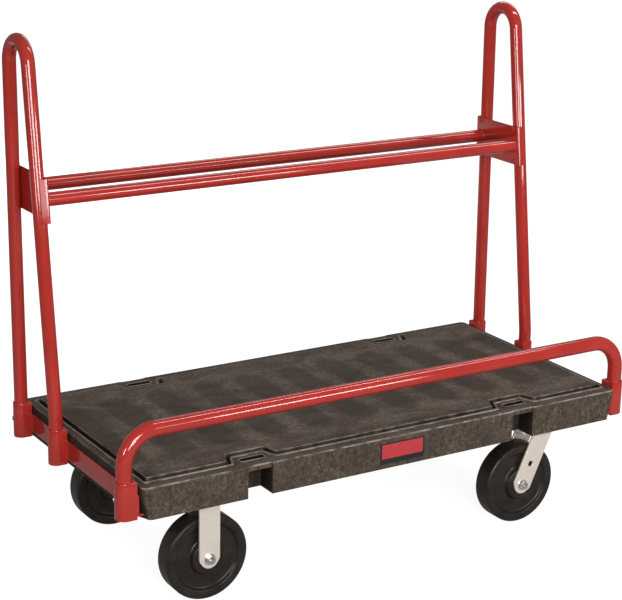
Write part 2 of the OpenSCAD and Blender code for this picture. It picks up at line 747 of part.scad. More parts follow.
at_swivel_axle(-1) wheel();  // front_swivel_wheel
at_swivel_axle(1) wheel();  // rear_swivel_wheel
at_rigid_axle(-1) bearing();  // front_rigid_bearing
at_rigid_axle(1) bearing();  // rear_rigid_bearing
at_swivel_axle(-1) bearing();  // front_swivel_bearing
at_swivel_axle(1) bearing();  // rear_swivel_bearing
at_rigid_axle(-1) bush();  // front_rigid_bush
at_rigid_axle(1) bush();  // rear_rigid_bush
at_swivel_axle(-1) bush();  // front_swivel_bush
at_swivel_axle(1) bush();  // rear_swivel_bush
at_rigid_axle(-1) axle();  // front_rigid_axle
at_rigid_axle(1) axle();  // rear_rigid_axle
at_swivel_axle(-1) axle();  // front_swivel_axle
at_swivel_axle(1) axle();  // rear_swivel_axle
at_rigid_axle(-1) axle_nut();  // front_rigid_axle_nut
at_rigid_axle(1) axle_nut();  // rear_rigid_axle_nut
at_swivel_axle(-1) axle_nut();  // front_swivel_axle_nut
at_swivel_axle(1) axle_nut();  // rear_swivel_axle_nut
bracket_screws();
socket_screws();
channel_bolts();
caster_bolts();
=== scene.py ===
"""Drywall cart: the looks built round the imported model, in metres and in the model's own frame.

+X runs along the deck towards the swivel casters, +Y towards the leaning frames, +Z up.
"""
import math

import bmesh
import bpy
from mathutils import Matrix, Vector


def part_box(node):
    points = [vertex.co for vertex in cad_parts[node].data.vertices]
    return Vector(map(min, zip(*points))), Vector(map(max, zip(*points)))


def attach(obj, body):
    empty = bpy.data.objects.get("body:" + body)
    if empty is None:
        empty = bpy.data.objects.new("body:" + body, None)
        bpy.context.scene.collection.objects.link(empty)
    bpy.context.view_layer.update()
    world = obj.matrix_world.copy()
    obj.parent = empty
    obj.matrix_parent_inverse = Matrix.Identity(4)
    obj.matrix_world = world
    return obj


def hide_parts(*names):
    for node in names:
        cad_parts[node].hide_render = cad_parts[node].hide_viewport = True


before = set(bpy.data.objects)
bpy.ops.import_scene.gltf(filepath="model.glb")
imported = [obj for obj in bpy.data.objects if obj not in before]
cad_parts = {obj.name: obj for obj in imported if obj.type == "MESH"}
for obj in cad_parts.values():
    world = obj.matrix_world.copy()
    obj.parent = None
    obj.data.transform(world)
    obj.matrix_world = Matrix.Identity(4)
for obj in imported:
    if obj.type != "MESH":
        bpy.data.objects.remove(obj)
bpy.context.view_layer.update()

# Places closer together than this count as one
SAME = 1e-6

# Deck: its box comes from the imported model, and the smaller sizes are those of the source
deck_low, deck_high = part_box("deck")
HALF_L = deck_high.x
HALF_W = deck_high.y
SKIRT_Z = deck_low.z
FIELD_Z = deck_high.z
LEDGE_Z = FIELD_Z - 0.007
RIDGE_Z = LEDGE_Z + 0.0025
SKIN_Z = LEDGE_Z - 0.013
GROOVE_Z = LEDGE_Z - 0.005
CORNER_R = 0.014
LEAST_CORNER_R = 0.004
CORNER_STEPS = 8
END_STEPS = 10
COARSE_STEP = 0.02
EDGE_R = 0.005
LEDGE_W = 0.024
END_LEDGE_W = 0.014
RIDGE_IN = LEDGE_W + 0.007
FIELD_IN = RIDGE_IN + 0.007
FIELD_EDGE_W = 0.020
SKIRT_T = 0.012
SKIRT_TAPER = 0.014
RIB_T = 0.006
RIB_PITCH = 0.125
RIB_RECESS = 0.0006
PAD_L = 0.148
PAD_W = 0.120
DECK_BEVEL = 0.0009

# Long round-ended cells that show through the deck's top as darker patches
CELL_PITCH = 0.1215
CELL_HALF = 0.038
CELL_REACH = 0.199
CELL_SOFTNESS = 0.008
CELL_WOBBLE = 0.010

# Tie-down slots, the step of the ridge round them, and the notches in the skirt below
SLOT_X = HALF_L - 0.290
SLOT_L = 0.062
SLOT_IN = 0.031
SLOT_FAR = SLOT_IN + 0.018
SLOT_RIM_R = 0.0022
SLOT_CORNER_R = 0.006
BAY_IN = 0.038
BAY_SIDE = 0.009
BAY_RUN = 0.010
BAY_ROUND = 0.006
BAY_SPREAD = math.tan(math.atan2(BAY_IN, BAY_RUN) / 2)
NOTCH_D = SLOT_FAR + 0.004
LIP_IN = 0.003

# The ledge takes up the step of a bay between these two insets, and the slot's edges lie between them
BAY_FROM = 0.0160
BAY_TO = 0.0232
BAY_STRETCH = BAY_IN / (BAY_TO - BAY_FROM)
SLOT_OUTER = (SLOT_IN + BAY_STRETCH * BAY_FROM) / (1 + BAY_STRETCH)
SLOT_INNER = (SLOT_FAR + BAY_STRETCH * BAY_FROM) / (1 + BAY_STRETCH)

# Plain label on the front skirt: lowest and highest corner in X and Z, radius of the corners, thickness
LABEL_SHEET = ((-0.047, 0.262), (0.075, 0.313), 0.003, 0.0004)
LABEL_PANEL = ((-0.043, 0.275), (0.071, 0.310), 0.002, 0.0007)
LABEL_SUNK = 0.0005

# Small ring that the mould leaves near the front skirt's left end
MOULD_RING_X = -0.5415
MOULD_RING_Z = 0.2665

# Tubes and sockets
frame_low, frame_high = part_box("right_a_frame")
rail_low, rail_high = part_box("front_rail")
rear_socket_low, rear_socket_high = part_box("right_rear_leg_socket")
front_socket_low, front_socket_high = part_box("right_front_leg_socket")
TUBE_R = (frame_high.x - frame_low.x) / 2
FRAME_X = (frame_high.x + frame_low.x) / 2
TUBE_FOOT = frame_low.z
FRAME_TOP = frame_high.z - TUBE_R
REAR_LEG_Y = (rear_socket_low.y + rear_socket_high.y) / 2
FRONT_LEG_Y = (front_socket_low.y + front_socket_high.y) / 2
REAR_LEAN = math.radians(0.9)
FRONT_LEAN = math.radians(7.7)
LEAN_Z = rear_socket_high.z + 0.020
FOOT_BEND = 0.120
RAIL_R = (rail_high.y - rail_low.y) / 2
RAIL_X = rail_high.x - RAIL_R
RAIL_Y = (rail_low.y + rail_high.y) / 2
RAIL_Z = rail_high.z - RAIL_R
RAIL_BEND = 0.075
FIT = 0.00025
SOCKET_T = 0.003
SOCKET_BORE_D = 0.05
TUBE_SIDES = 48
BEND_STEP = math.radians(5)

# End channels, and the weld beads beside their sockets: a bead has a radius and a share of ripple
channel_low, channel_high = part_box("right_end_channel")
CHANNEL_T = 0.004
BEAD = (0.0019, 0.12)
BEAD_UP = 0.006
BEAD_L = 0.038
BEAD_STEPS = 22
BEAD_EDGE = 0.002
BEAD_SUNK = 0.0003

# Brackets, cross tubes with their weld beads, and screws
bracket_low, bracket_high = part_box("right_bracket")
cross_low, cross_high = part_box("front_cross_tube")
BRACKET_T = 0.003
BRACKET_BEND = 0.0055
BRACKET_STEP = 0.03
BRACKET_SCREW_EDGE = 0.008
CROSS_Z = (cross_low.z + cross_high.z) / 2
CROSS_X = cross_high.x
CROSS_BEAD = (0.0021, 0.10)
CROSS_BEAD_IN = 0.001
CROSS_BEAD_PROUD = 0.0006
CROSS_BEAD_STEPS = 56
SCREW_R = 0.006
SCREW_H = 0.0033
SCREW_SOCKET = 0.0038
SCREW_SUNK = 0.0002
SOCKET_SCREW_TURN = math.radians(40)

# Casters
plate_low, plate_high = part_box("front_swivel_plate")
wheel_low, wheel_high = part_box("front_swivel_wheel")
CASTER_X = (plate_low.x + plate_high.x) / 2
CASTER_Y = -(plate_low.y + plate_high.y) / 2
PLATE_L = plate_high.x - plate_low.x
PLATE_W = plate_high.y - plate_low.y
PLATE_T = 0.006
PLATE_Z = plate_high.z - PLATE_T
PLATE_CORNER_R = 0.008
FORK_T = 0.006
FORK_OUT = 0.035
FORK_BEND = 0.010
FORK_BEND_SHORT = 0.0001
FORK_BEVEL = 0.0010
WHEEL_R = (wheel_high.z - wheel_low.z) / 2
HUB_L = wheel_high.y - wheel_low.y
HUB_R = 0.038
WHEEL_W = HUB_L - 0.005
WHEEL_WEB = 0.032
WHEEL_BORE_R = 0.01705
RIM_FACE = 0.020
DISH_RUN = 0.005
SWIVEL_LEAD = CASTER_X - (wheel_low.x + wheel_high.x) / 2
CROWN_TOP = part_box("front_swivel_fork")[1].z
CROWN_BORE_R = 0.0082
CROWN_EDGE = 0.002
RACE_R = 0.052
RACE_W = 0.006
RACE_GAP = 0.001
RACE_SIDES = 72
LEG_TOP_X = 0.012
RIGID_LEG_W = 0.052
SWIVEL_LEG_W = 0.054
LEG_END_R = 0.023
LEG_SHOULDER_R = 0.014
TIP_DROP = 0.003
LOCK_HOLE = 0.013
LOCK_HOLE_UP = 0.056
RAKE = math.atan2(LEG_TOP_X + SWIVEL_LEAD, CROWN_TOP - WHEEL_R)

# Bolts and nuts: across the flats, height of the head, and radius of the flange under it
AXLE_R = 0.00625
AXLE_HEAD = (0.01875, 0.008, 0.0118)
AXLE_NUT = (0.01875, 0.010, 0.0135)
AXLE_NUT_H = AXLE_NUT[1]
THREAD_OVER = 0.003
THREAD_PITCH = 0.00175
CASTER_BOLT = (0.01425, 0.006, 0.0095)
CASTER_BOLT_EDGE = 0.014
CHANNEL_BOLT = (0.012, 0.005, 0.0085)
CHANNEL_BOLT_IN = 0.030
CHANNEL_BOLT_PLACES = (-0.2, 0, 0.2)


# Shapes

FILLET_STEP = math.radians(9)
SHARP = math.radians(32)
SHARP_TURNED = math.radians(40)
SHARP_TUBE = 1.0


def fillet(corners, radii, closed=False, step=FILLET_STEP):
    """A line or outline through the corners, each rounded to its radius."""
    corners = [Vector(corner) for corner in corners]
    points = []
    count = len(corners)
    for i, corner in enumerate(corners):
        is_end = not closed and i in (0, count - 1)
        if radii[i] == 0 or is_end:
            points.append(corner)
            continue
        to_last = (corners[i - 1] - corner).normalized()
        to_next = (corners[(i + 1) % count] - corner).normalized()
        turn = math.pi - to_last.angle(to_next)
        reach = radii[i] * math.tan(turn / 2)
        centre = corner + (to_last + to_next).normalized() * radii[i] / math.cos(turn / 2)
        first = corner + to_last * reach - centre
        last = corner + to_next * reach - centre
        steps = max(2, math.ceil(turn / step))
        for k in range(steps + 1):
            share = k / steps
            start_part = first * math.sin((1 - share) * turn)
            end_part = last * math.sin(share * turn)
            points.append(centre + (start_part + end_part) / math.sin(turn))
    return points


def rounded(rows, closed=False, step=FILLET_STEP):
    """A flat line or outline from rows of two coordinates and a radius."""
    return fillet([row[:2] for row in rows], [row[2] for row in rows], closed, step)


def rectangle(low, high):
    """The four corners of a flat rectangle between two of them."""
    return [(low[0], low[1]), (high[0], low[1]), (high[0], high[1]), (low[0], high[1])]


def turn_angles(sides):
    """Angles of a full turn in equal steps."""
    return [2 * math.pi * k / sides for k in range(sides)]


def hexagon(flats, limit=math.inf):
    """A hexagon's radius by the angle, cut back to a circle where a limit is given."""
    def radius(angle):
        apart = (angle + math.pi / 6) % (math.pi / 3) - math.pi / 6
        return min(flats / 2 / math.cos(apart), limit)
    return radius


class Shape:
    """Points and faces of one piece while it is being made."""

    def __init__(self):
        self.points = []
        self.faces = []

    def row(self, points):
        """Adds points and returns their numbers."""
        start = len(self.points)
        self.points.extend(Vector(point) for point in points)
        return list(range(start, len(self.points)))

    def band(self, low, high, closed=True, skip=()):
        """Joins two rows of equal length with four-sided faces."""
        count = len(low)
        for i in range(count if closed else count - 1):
            j = (i + 1) % count
            if i not in skip:
                self.faces.append((low[i], low[j], high[j], high[i]))

    def loft(self, rows, capped=True, ring=False):
        """Joins closed rows one after another, and the last to the first for a ring."""
        rows = [self.row(points) for points in rows]
        for low, high in zip(rows, rows[1:]):
            self.band(low, high)
        if ring:
            self.band(rows[-1], rows[0])
        elif capped:
            self.faces.append(tuple(rows[0]))
            self.faces.append(tuple(rows[-1]))

    def turned(self, profile, place, sides, ring=False):
        """A form round the local Z axis, from (radius, height) pairs; a radius may depend on the angle."""
        angles = turn_angles(sides)
        rows = []
        for radius, height in profile:
            sizes = [radius(a) if callable(radius) else radius for a in angles]
            spots = zip(angles, sizes)
            rows.append([place @ Vector((r * math.cos(a), r * math.sin(a), height)) for a, r in spots])
        self.loft(rows, ring=ring)

    def tube(self, path, radius, normal, sides=TUBE_SIDES):
        """A round tube along a flat path whose plane is square to the normal."""
        rows = []
        for i, point in enumerate(path):
            ahead = path[min(i + 1, len(path) - 1)] - path[max(i - 1, 0)]
            side = ahead.cross(normal).normalized()
            rows.append([point + radius * (math.cos(a) * side + math.sin(a) * normal)
                         for a in turn_angles(sides)])
        self.loft(rows)

    def slab(self, outlines, low, high, is_open=None):
        """Flat outlines at two levels, with walls along the edges that no other outline shares."""
        walls = {}
        for outline in outlines:
            bottom = self.row([low(point) for point in outline])
            top = self.row([high(point) for point in outline])
            self.faces.append(tuple(bottom))
            self.faces.append(tuple(top))
            for i, point in enumerate(outline):
                j = (i + 1) % len(outline)
                if is_open is not None and is_open(point, outline[j]):
                    continue
                ends = (point, outline[j])
                key = frozenset((round(end[0], 6), round(end[1], 6)) for end in ends)
                walls.setdefault(key, []).append((bottom[i], bottom[j], top[j], top[i]))
        self.faces.extend(wall[0] for wall in walls.values() if len(wall) == 1)

    def block(self, low, high):
        """A rectangular block between two corners."""
        self.slab([rectangle(low, high)], lambda p: (*p, low[2]), lambda p: (*p, high[2]))

    def piece(self, name, look, nodes=(), body="cart", bevel=0, sharp=SHARP):
        """Makes the object with its look and sets it on its body in place of the nodes."""
        finish, slot = look
        mesh = bpy.data.meshes.new(name)
        mesh.from_pydata(self.points, [], self.faces)
        work = bmesh.new()
        work.from_mesh(mesh)
        bmesh.ops.remove_doubles(work, verts=work.verts, dist=SAME)
        bmesh.ops.recalc_face_normals(work, faces=work.faces)
        work.to_mesh(mesh)
        work.free()
        mesh.shade_smooth()
        mesh.set_sharp_from_angle(angle=sharp)
        mesh.materials.append(finish)
        obj = new_object(name, mesh)
        if bevel:
            soften(obj, bevel)
        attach(obj, body)
        if nodes:
            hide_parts(*nodes)


def new_object(name, data):
    """A new object in the scene."""
    obj = bpy.data.objects.new(name, data)
    bpy.context.scene.collection.objects.link(obj)
    return obj


def soften(obj, width):
    """Rounds an object's hard edges."""
    edge = obj.modifiers.new("edge_round", "BEVEL")
    edge.width = width
    edge.segments = 2
    edge.limit_method = "ANGLE"
    edge.angle_limit = math.radians(48)
    edge.harden_normals = True


def at(x, y, z, turn=Matrix.Identity(4)):
    """A place, with an optional turn."""
    return Matrix.Translation((x, y, z)) @ turn


ALONG_X = Matrix.Rotation(math.pi / 2, 4, "Y")
ALONG_MINUS_X = Matrix.Rotation(-math.pi / 2, 4, "Y")
ALONG_Y = Matrix.Rotation(-math.pi / 2, 4, "X")
ALONG_MINUS_Y = Matrix.Rotation(math.pi / 2, 4, "X")
UPSIDE_DOWN = Matrix.Rotation(math.pi, 4, "X")
X_AXIS = Vector((1, 0, 0))
Y_AXIS = Vector((0, 1, 0))
Z_AXIS = Vector((0, 0, 1))


# Materials

# Share of the white background that reflections show
MIRRORED_SHARE = 0.14
WHITE = (1, 1, 1, 1)


class Nodes:
    """Adds and links the nodes of a material or of the world."""

    def __init__(self, owner):
        owner.use_nodes = True
        self.nodes = owner.node_tree.nodes
        self.links = owner.node_tree.links

    def feed(self, socket, value):
        """Links a node's output to a socket, or sets the socket's own value."""
        if isinstance(value, bpy.types.NodeSocket):
            self.links.new(value, socket)
        else:
            socket.default_value = value

    def add(self, kind, inputs=None, **settings):
        node = self.nodes.new(kind)
        for key, value in settings.items():
            setattr(node, key, value)
        for key, value in (inputs or {}).items():
            self.feed(node.inputs[key], value)
        return node

    def maths(self, operation, first, second=0.0):
        return self.add("ShaderNodeMath", {0: first, 1: second}, operation=operation).outputs[0]

    def times(self, first, second):
        return self.maths("MULTIPLY", first, second)

    def background_share(self):
        """How much of the white background a ray sees: all of it for the camera, a share in reflections."""
        paths = self.add("ShaderNodeLightPath").outputs
        mirrored = self.maths("MAXIMUM", paths["Is Glossy Ray"], paths["Is Transmission Ray"])
        return self.maths("MAXIMUM", paths["Is Camera Ray"], self.times(mirrored, MIRRORED_SHARE))


class Finish(Nodes):
    """A procedural material on object coordinates, which equal the model's frame at rest."""

    def __init__(self, name, specular, metallic=0.0):
        self.material = bpy.data.materials.new(name)
        super().__init__(self.material)
        self.shader = self.nodes["Principled BSDF"]
        self.shader.inputs["Specular IOR Level"].default_value = specular
        self.shader.inputs["Metallic"].default_value = metallic
        self.coordinates = self.add("ShaderNodeTexCoord").outputs

    def noise(self, scale, detail=2.0, stretch=(1, 1, 1), swirl=0.0):
        """Noise from 0 to 1; stretch multiplies the frequency along each axis."""
        spot = self.add("ShaderNodeMapping", {"Vector": self.coordinates["Object"], "Scale": stretch})
        values = {"Vector": spot.outputs[0], "Scale": scale, "Detail": detail, "Distortion": swirl}
        return self.add("ShaderNodeTexNoise", values).outputs[0]

    def along(self, axis, of="Object"):
        """The spot's place in metres, or its surface's Normal, along X (0), Y (1) or Z (2)."""
        return self.add("ShaderNodeSeparateXYZ", {"Vector": self.coordinates[of]}).outputs[axis]

    def off_middle(self, axis, of="Object"):
        return self.maths("ABSOLUTE", self.along(axis, of))

    def remap(self, value, low, high, to_low=0.0, to_high=1.0):
        """Maps a range of a value to another range."""
        values = {"Value": value, "From Min": low, "From Max": high, "To Min": to_low, "To Max": to_high}
        return self.add("ShaderNodeMapRange", values).outputs[0]

    def blend(self, share, first, second):
        return self.add("ShaderNodeMix", {0: share, 6: first, 7: second}, data_type="RGBA").outputs[2]

    def cover(self, under, over, share, strength):
        """Lays a colour over another where the share is high."""
        return self.blend(self.times(share, strength), under, over)

    def cells(self):
        """1 in the long cells between the ribs that show through the deck's top, 0 on the ribs."""
        across = self.maths("PINGPONG", self.along(0), CELL_PITCH / 2)
        beyond = self.maths("SUBTRACT", self.off_middle(1), CELL_REACH - CELL_HALF)
        beyond = self.maths("MAXIMUM", beyond)
        squares = [self.times(part, part) for part in (across, beyond)]
        away = self.maths("POWER", self.maths("ADD", *squares), 0.5)
        away = self.maths("ADD", away, self.remap(self.noise(20, 3), 0, 1, -CELL_WOBBLE, CELL_WOBBLE))
        return self.remap(away, CELL_HALF + CELL_SOFTNESS, CELL_HALF - CELL_SOFTNESS)

    def inside_rim(self):
        """1 inside the deck's outer faces, 0 on them."""
        skin = 0.009
        fade = 0.002
        apart_x = self.maths("SUBTRACT", HALF_L - skin, self.off_middle(0))
        apart_y = self.maths("SUBTRACT", HALF_W - skin, self.off_middle(1))
        return self.remap(self.maths("MINIMUM", apart_x, apart_y), 0, fade)

    def done(self, colour, roughness, *reliefs):
        """The material, with fine bumps of the given depths in metres laid over each other."""
        self.feed(self.shader.inputs["Base Color"], colour)
        self.feed(self.shader.inputs["Roughness"], roughness)
        normal = self.shader.inputs["Normal"]
        for height, depth in reliefs:
            bump = self.add("ShaderNodeBump", {"Height": height, "Distance": depth})
            if normal.links:
                self.links.new(normal.links[0].from_socket, bump.inputs["Normal"])
            self.links.new(bump.outputs[0], normal)
        return self.material


def red_paint():
    """Gloss enamel with a slight orange peel and a little unevenness."""
    finish = Finish("red_paint", 0.58)
    cloud = finish.remap(finish.noise(11, 4), 0.3, 0.7)
    colour = finish.blend(cloud, (0.325, 0.019, 0.013, 1), (0.385, 0.024, 0.016, 1))
    roughness = finish.remap(finish.noise(60, 3), 0.3, 0.7, 0.045, 0.085)
    return finish.done(colour, roughness, (finish.noise(380, 2), 0.00002))


def deck_plastic():
    """Recycled structural foam: a swirled brown-grey with grain; painted shade in the groove, under the skin
    and on the end faces, a painted highlight on the ridge, and pale edges that are partly wear and partly a
    painted highlight.
    """
    finish = Finish("deck_plastic", 0.16)
    # painted shade: near-black laid into the groove and slots, under the skin and on the end faces
    painted_shade = (0.007, 0.006, 0.005, 1)
    dark = (0.032, 0.022, 0.015, 1)
    mid = (0.078, 0.056, 0.041, 1)
    pale = (0.146, 0.112, 0.086, 1)
    # pale of the edges' wear, also used as a painted highlight on the ridge and edges
    wear_and_highlight = (0.250, 0.212, 0.180, 1)
    height = finish.along(2)
    facing = finish.along(2, "Normal")
    is_top = finish.remap(facing, 0.5, 0.85)
    inside = finish.inside_rim()

    swirl = finish.remap(finish.noise(8, 5, (1, 1.5, 1), 1.2), 0.34, 0.66)
    grain = finish.remap(finish.noise(120, 6, (1, 1, 1), 0.8), 0.36, 0.62)
    flow = finish.remap(finish.noise(80, 6, (1, 1, 0.7), 1.8), 0.38, 0.62)
    wrinkles = finish.maths("SUBTRACT", finish.noise(55, 5, (1, 1, 0.6), 1.2), 0.5)
    wrinkles = finish.remap(finish.maths("ABSOLUTE", wrinkles), 0.035, 0.0)
    top = finish.cover(finish.blend(swirl, mid, pale), dark, finish.cells(), 0.7)
    side = finish.blend(flow, mid, finish.blend(swirl, mid, pale))
    side = finish.blend(wrinkles, side, dark)
    body = finish.cover(finish.blend(is_top, side, top), dark, grain, 0.7)

    on_ledge = finish.times(is_top, finish.remap(height, RIDGE_Z - 0.0006, LEDGE_Z + 0.0006))
    body = finish.cover(body, dark, on_ledge, 0.35)
    # painted highlight: the ridge's top is lightened
    on_ridge = finish.times(finish.remap(height, LEDGE_Z + 0.0008, RIDGE_Z - 0.0004),
                            finish.remap(height, RIDGE_Z + 0.0010, RIDGE_Z + 0.0004))
    body = finish.cover(body, wear_and_highlight, finish.times(on_ridge, is_top), 0.55)
    # painted shade: the underside of the skin inside the rim is darkened
    under_skin = finish.times(inside, finish.remap(height, SKIN_Z + 0.001, SKIN_Z - 0.001))
    body = finish.cover(body, painted_shade, under_skin, 0.65)
    # painted shade: the groove's floor, the slots' walls and the low wall round the field are darkened inside
    # the rim
    on_wall = finish.times(finish.remap(height, FIELD_Z - 0.001, FIELD_Z - 0.003),
                           finish.remap(facing, 0.45, 0.30))
    in_groove = finish.maths("MAXIMUM", finish.remap(height, LEDGE_Z - 0.001, LEDGE_Z - 0.003), on_wall)
    in_groove = finish.times(in_groove, finish.remap(height, SKIN_Z, SKIN_Z + 0.001))
    body = finish.cover(body, painted_shade, in_groove, inside)
    # rounded edges lightened in broken patches: partly wear, partly a painted highlight
    on_edge = finish.times(finish.remap(facing, 0.2, 0.5), finish.remap(facing, 0.95, 0.8))
    body = finish.cover(body, wear_and_highlight, on_edge, finish.remap(finish.noise(36, 6), 0.38, 0.60))
    # painted shade: faces that look along X, such as the deck's end faces, are darkened
    at_end = finish.remap(finish.off_middle(0, "Normal"), 0.6, 0.95)
    body = finish.cover(body, painted_shade, at_end, 0.7)

    grit = (finish.noise(260, 5), 0.00030)
    ripples = (finish.noise(100, 4, (1, 1, 0.7), 1.5), 0.00050)
    return finish.done(body, finish.remap(swirl, 0, 1, 0.62, 0.50), grit, ripples)


def zinc(name, tone, roughness, metallic):
    """Plated steel: pale, satin, with a fine grain."""
    finish = Finish(name, 0.5, metallic)
    shade = tuple(0.86 * part for part in tone)
    grain = finish.remap(finish.noise(420, 4), 0.3, 0.7)
    colour = finish.blend(grain, (*shade, 1), (*tone, 1))
    uneven = finish.remap(finish.noise(30, 3), 0.3, 0.7, roughness - 0.05, roughness + 0.05)
    return finish.done(colour, uneven, (finish.noise(700, 2), 0.00003))


def phenolic():
    """Moulded black wheel: cloudy, with pale flecks of its filler."""
    finish = Finish("phenolic", 0.25)
    flecks = finish.remap(finish.noise(330, 5), 0.5, 0.75)
    clouds = finish.remap(finish.noise(28, 4), 0.3, 0.7)
    base = finish.blend(clouds, (0.010, 0.0075, 0.0058, 1), (0.024, 0.018, 0.0142, 1))
    colour = finish.cover(base, (0.050, 0.040, 0.033, 1), flecks, 0.3)
    return finish.done(colour, finish.remap(clouds, 0, 1, 0.24, 0.38), (finish.noise(260, 4), 0.00015))


def sticker(name, ink, faded):
    """A plain sticker, a little scuffed."""
    finish = Finish(name, 0.4)
    scuff = finish.remap(finish.noise(120, 4, (1, 1, 2.5)), 0.45, 0.75)
    return finish.done(finish.cover(ink, faded, scuff, 0.25), finish.remap(scuff, 0, 1, 0.32, 0.5))


# Looks: each is a material and the record's slot that it stands for
RED = (red_paint(), "red_paint")
DECK = (deck_plastic(), "deck_plastic")
PLATED = (zinc("zinc_plate", (0.86, 0.765, 0.67), 0.40, 0.55), "zinc_plate")
FASTENER = (zinc("zinc_fastener", (0.72, 0.70, 0.67), 0.22, 1.0), "zinc_fastener")
STEEL = (zinc("bare_steel", (0.52, 0.52, 0.53), 0.30, 1.0), "bare_steel")
WHEEL = (phenolic(), "phenolic")
STICKER_RED = (sticker("sticker_red", (0.40, 0.030, 0.036, 1), (0.50, 0.09, 0.09, 1)), "red_paint")
STICKER_DARK = (sticker("sticker_black", (0.010, 0.009, 0.008, 1), (0.040, 0.036, 0.032, 1)), "deck_plastic")


# Deck


def long_side_stations():
    """Places along a long side, close together round each slot and exact at its ends."""
    step = SLOT_L / 40
    reach = 48
    fine = [centre + k * step for centre in (-SLOT_X, SLOT_X) for k in range(-reach, reach + 1)]
    coarse = [k * COARSE_STEP for k in range(-28, 29)]
    return sorted(fine + [x for x in coarse if from_slot(x) > (reach + 2) * step])


def from_slot(x):
    """Distance along the side from the middle of the nearest slot."""
    return abs(abs(x) - SLOT_X)


def in_slot(x, edge=SAME):
    return from_slot(x) < SLOT_L / 2 + edge


STATIONS = long_side_stations()


def bay_share(x, half):
    """0 away from a slot, 1 along it, with a straight slope between that is rounded at both ends."""
    steps = [k * BAY_ROUND / 4 for k in range(-4, 5)]
    shares = [max(0.0, min(1.0, (half + BAY_RUN - from_slot(x) - step) / BAY_RUN)) for step in steps]
    return sum(shares) / len(shares)


def end_inset(side):
    """The ledge is narrower at the deck's ends; further in, both insets grow alike."""
    if side < LEDGE_W:
        return side * END_LEDGE_W / LEDGE_W
    return END_LEDGE_W + side - LEDGE_W


def deck_loop(side, z, is_rim=False, taper=0.0, end=None):
    """One turn round the deck, so far in from its sides, as two equal halves.

    The rim's turns have its lip over the notches, and further in its step round the slots.
    """
    end = end_inset(side) if end is None else end
    half_w = HALF_W - side
    half_l = HALF_L - end
    bay = max(0.0, min(1.0, (side - BAY_FROM) / (BAY_TO - BAY_FROM))) if is_rim else 0.0
    lip = LIP_IN if is_rim and side < BAY_FROM - SAME else 0.0
    grow = SLOT_L / 2 + BAY_SIDE + BAY_SPREAD * max(0.0, side - LEDGE_W)
    long_side = []
    for x in STATIONS:
        step = bay * BAY_IN * bay_share(x, grow)
        step += lip if in_slot(x, -SAME) else 0
        long_side.append((x, step - half_w))
    bow = max(LEAST_CORNER_R, CORNER_R - 0.2 * side)
    turn = [k * math.pi / 2 / CORNER_STEPS for k in range(CORNER_STEPS + 1)]
    short = half_w - bow
    corner_in = [(half_l - bow + bow * math.sin(a) - taper, -short - bow * math.cos(a)) for a in turn]
    corner_out = [(half_l - bow + bow * math.cos(a) - taper, short + bow * math.sin(a)) for a in turn]
    across = [(half_l, short * (k / END_STEPS)) for k in range(1 - END_STEPS, END_STEPS)]
    half = long_side + corner_in + across + corner_out
    return [(x, y, z) for x, y in half] + [(-x, -y, z) for x, y in half]


def rim_profile():
    """Insets and heights from the lip's lower edge over the rim to the load field."""
    rows = [
        (0, SKIN_Z, 0),
        (0, LEDGE_Z, EDGE_R),
        (BAY_FROM, LEDGE_Z, 0),
        (SLOT_OUTER, LEDGE_Z, 0),
        (SLOT_INNER, LEDGE_Z, 0),
        (BAY_TO, LEDGE_Z, 0),
        (LEDGE_W + 0.0004, LEDGE_Z, 0.0006),
        (LEDGE_W + 0.0018, RIDGE_Z, 0.0016),
        (RIDGE_IN - 0.0012, RIDGE_Z, 0.0014),
        (RIDGE_IN + 0.0006, GROOVE_Z, 0.0008),
        (FIELD_IN - 0.0010, GROOVE_Z, 0.0008),
        (FIELD_IN + 0.0010, FIELD_Z, 0.0024),
        (FIELD_IN + FIELD_EDGE_W, FIELD_Z, 0),
    ]
    return rounded(rows, step=math.radians(20))


def make_deck():
    """The moulded deck with its rim, slots, notches and ribs."""
    shape = Shape()
    half_count = len(deck_loop(0, 0)) // 2
    slot_steps = [i for i in range(len(STATIONS) - 1) if in_slot(STATIONS[i]) and in_slot(STATIONS[i + 1])]
    holes = set(slot_steps) | {i + half_count for i in slot_steps}
    profile = rim_profile()
    slot_row = next(i for i, point in enumerate(profile) if abs(point[0] - SLOT_OUTER) < SAME)
    foot = shape.row(deck_loop(0, SKIRT_Z, taper=SKIRT_TAPER))
    rows = [shape.row(deck_loop(side, z, is_rim=True)) for side, z in profile]
    shape.band(foot, rows[0], skip=holes)
    for i, (low, high) in enumerate(zip(rows, rows[1:])):
        shape.band(low, high, skip=holes if i == slot_row else ())
    shape.faces.append(tuple(rows[-1]))
    edges = (foot, rows[0], rows[slot_row], rows[slot_row + 1])
    for sign, start in ((1, 0), (-1, half_count)):
        for centre in (-SLOT_X, SLOT_X):
            run = [i for i, x in enumerate(STATIONS) if in_slot(x) and abs(x - centre) < SLOT_L]
            picked = [[row[start + i] for i in run] for row in edges]
            add_slot(shape, sign, [STATIONS[i] for i in run], *picked)
    add_skirt_inside(shape, foot, half_count)
    add_ribs(shape)
    shape.piece("deck_moulding", DECK, ["deck"], bevel=DECK_BEVEL)


def add_slot(shape, sign, xs, foot, lip, rim_out, rim_in):
    """Walls of one slot down through the skin, and of the notch in the skirt below it."""
    def row(inset, z):
        return shape.row([(sign * x, sign * (inset - HALF_W), z) for x in xs])

    low_out = row(SLOT_IN, SKIN_Z)
    low_in = row(SLOT_FAR, SKIN_Z)
    wall_top = row(NOTCH_D, SKIN_Z)
    wall_foot = row(NOTCH_D, SKIRT_Z)
    pairs = ((rim_out, low_out), (low_in, rim_in), (lip, low_out), (low_in, wall_top), (wall_top, wall_foot))
    for low, high in pairs:
        shape.band(low, high, closed=False)
    for k in (0, -1):
        shape.faces.append((rim_out[k], low_out[k], low_in[k], rim_in[k]))
        shape.faces.append((foot[k], lip[k], low_out[k], low_in[k], wall_top[k], wall_foot[k]))


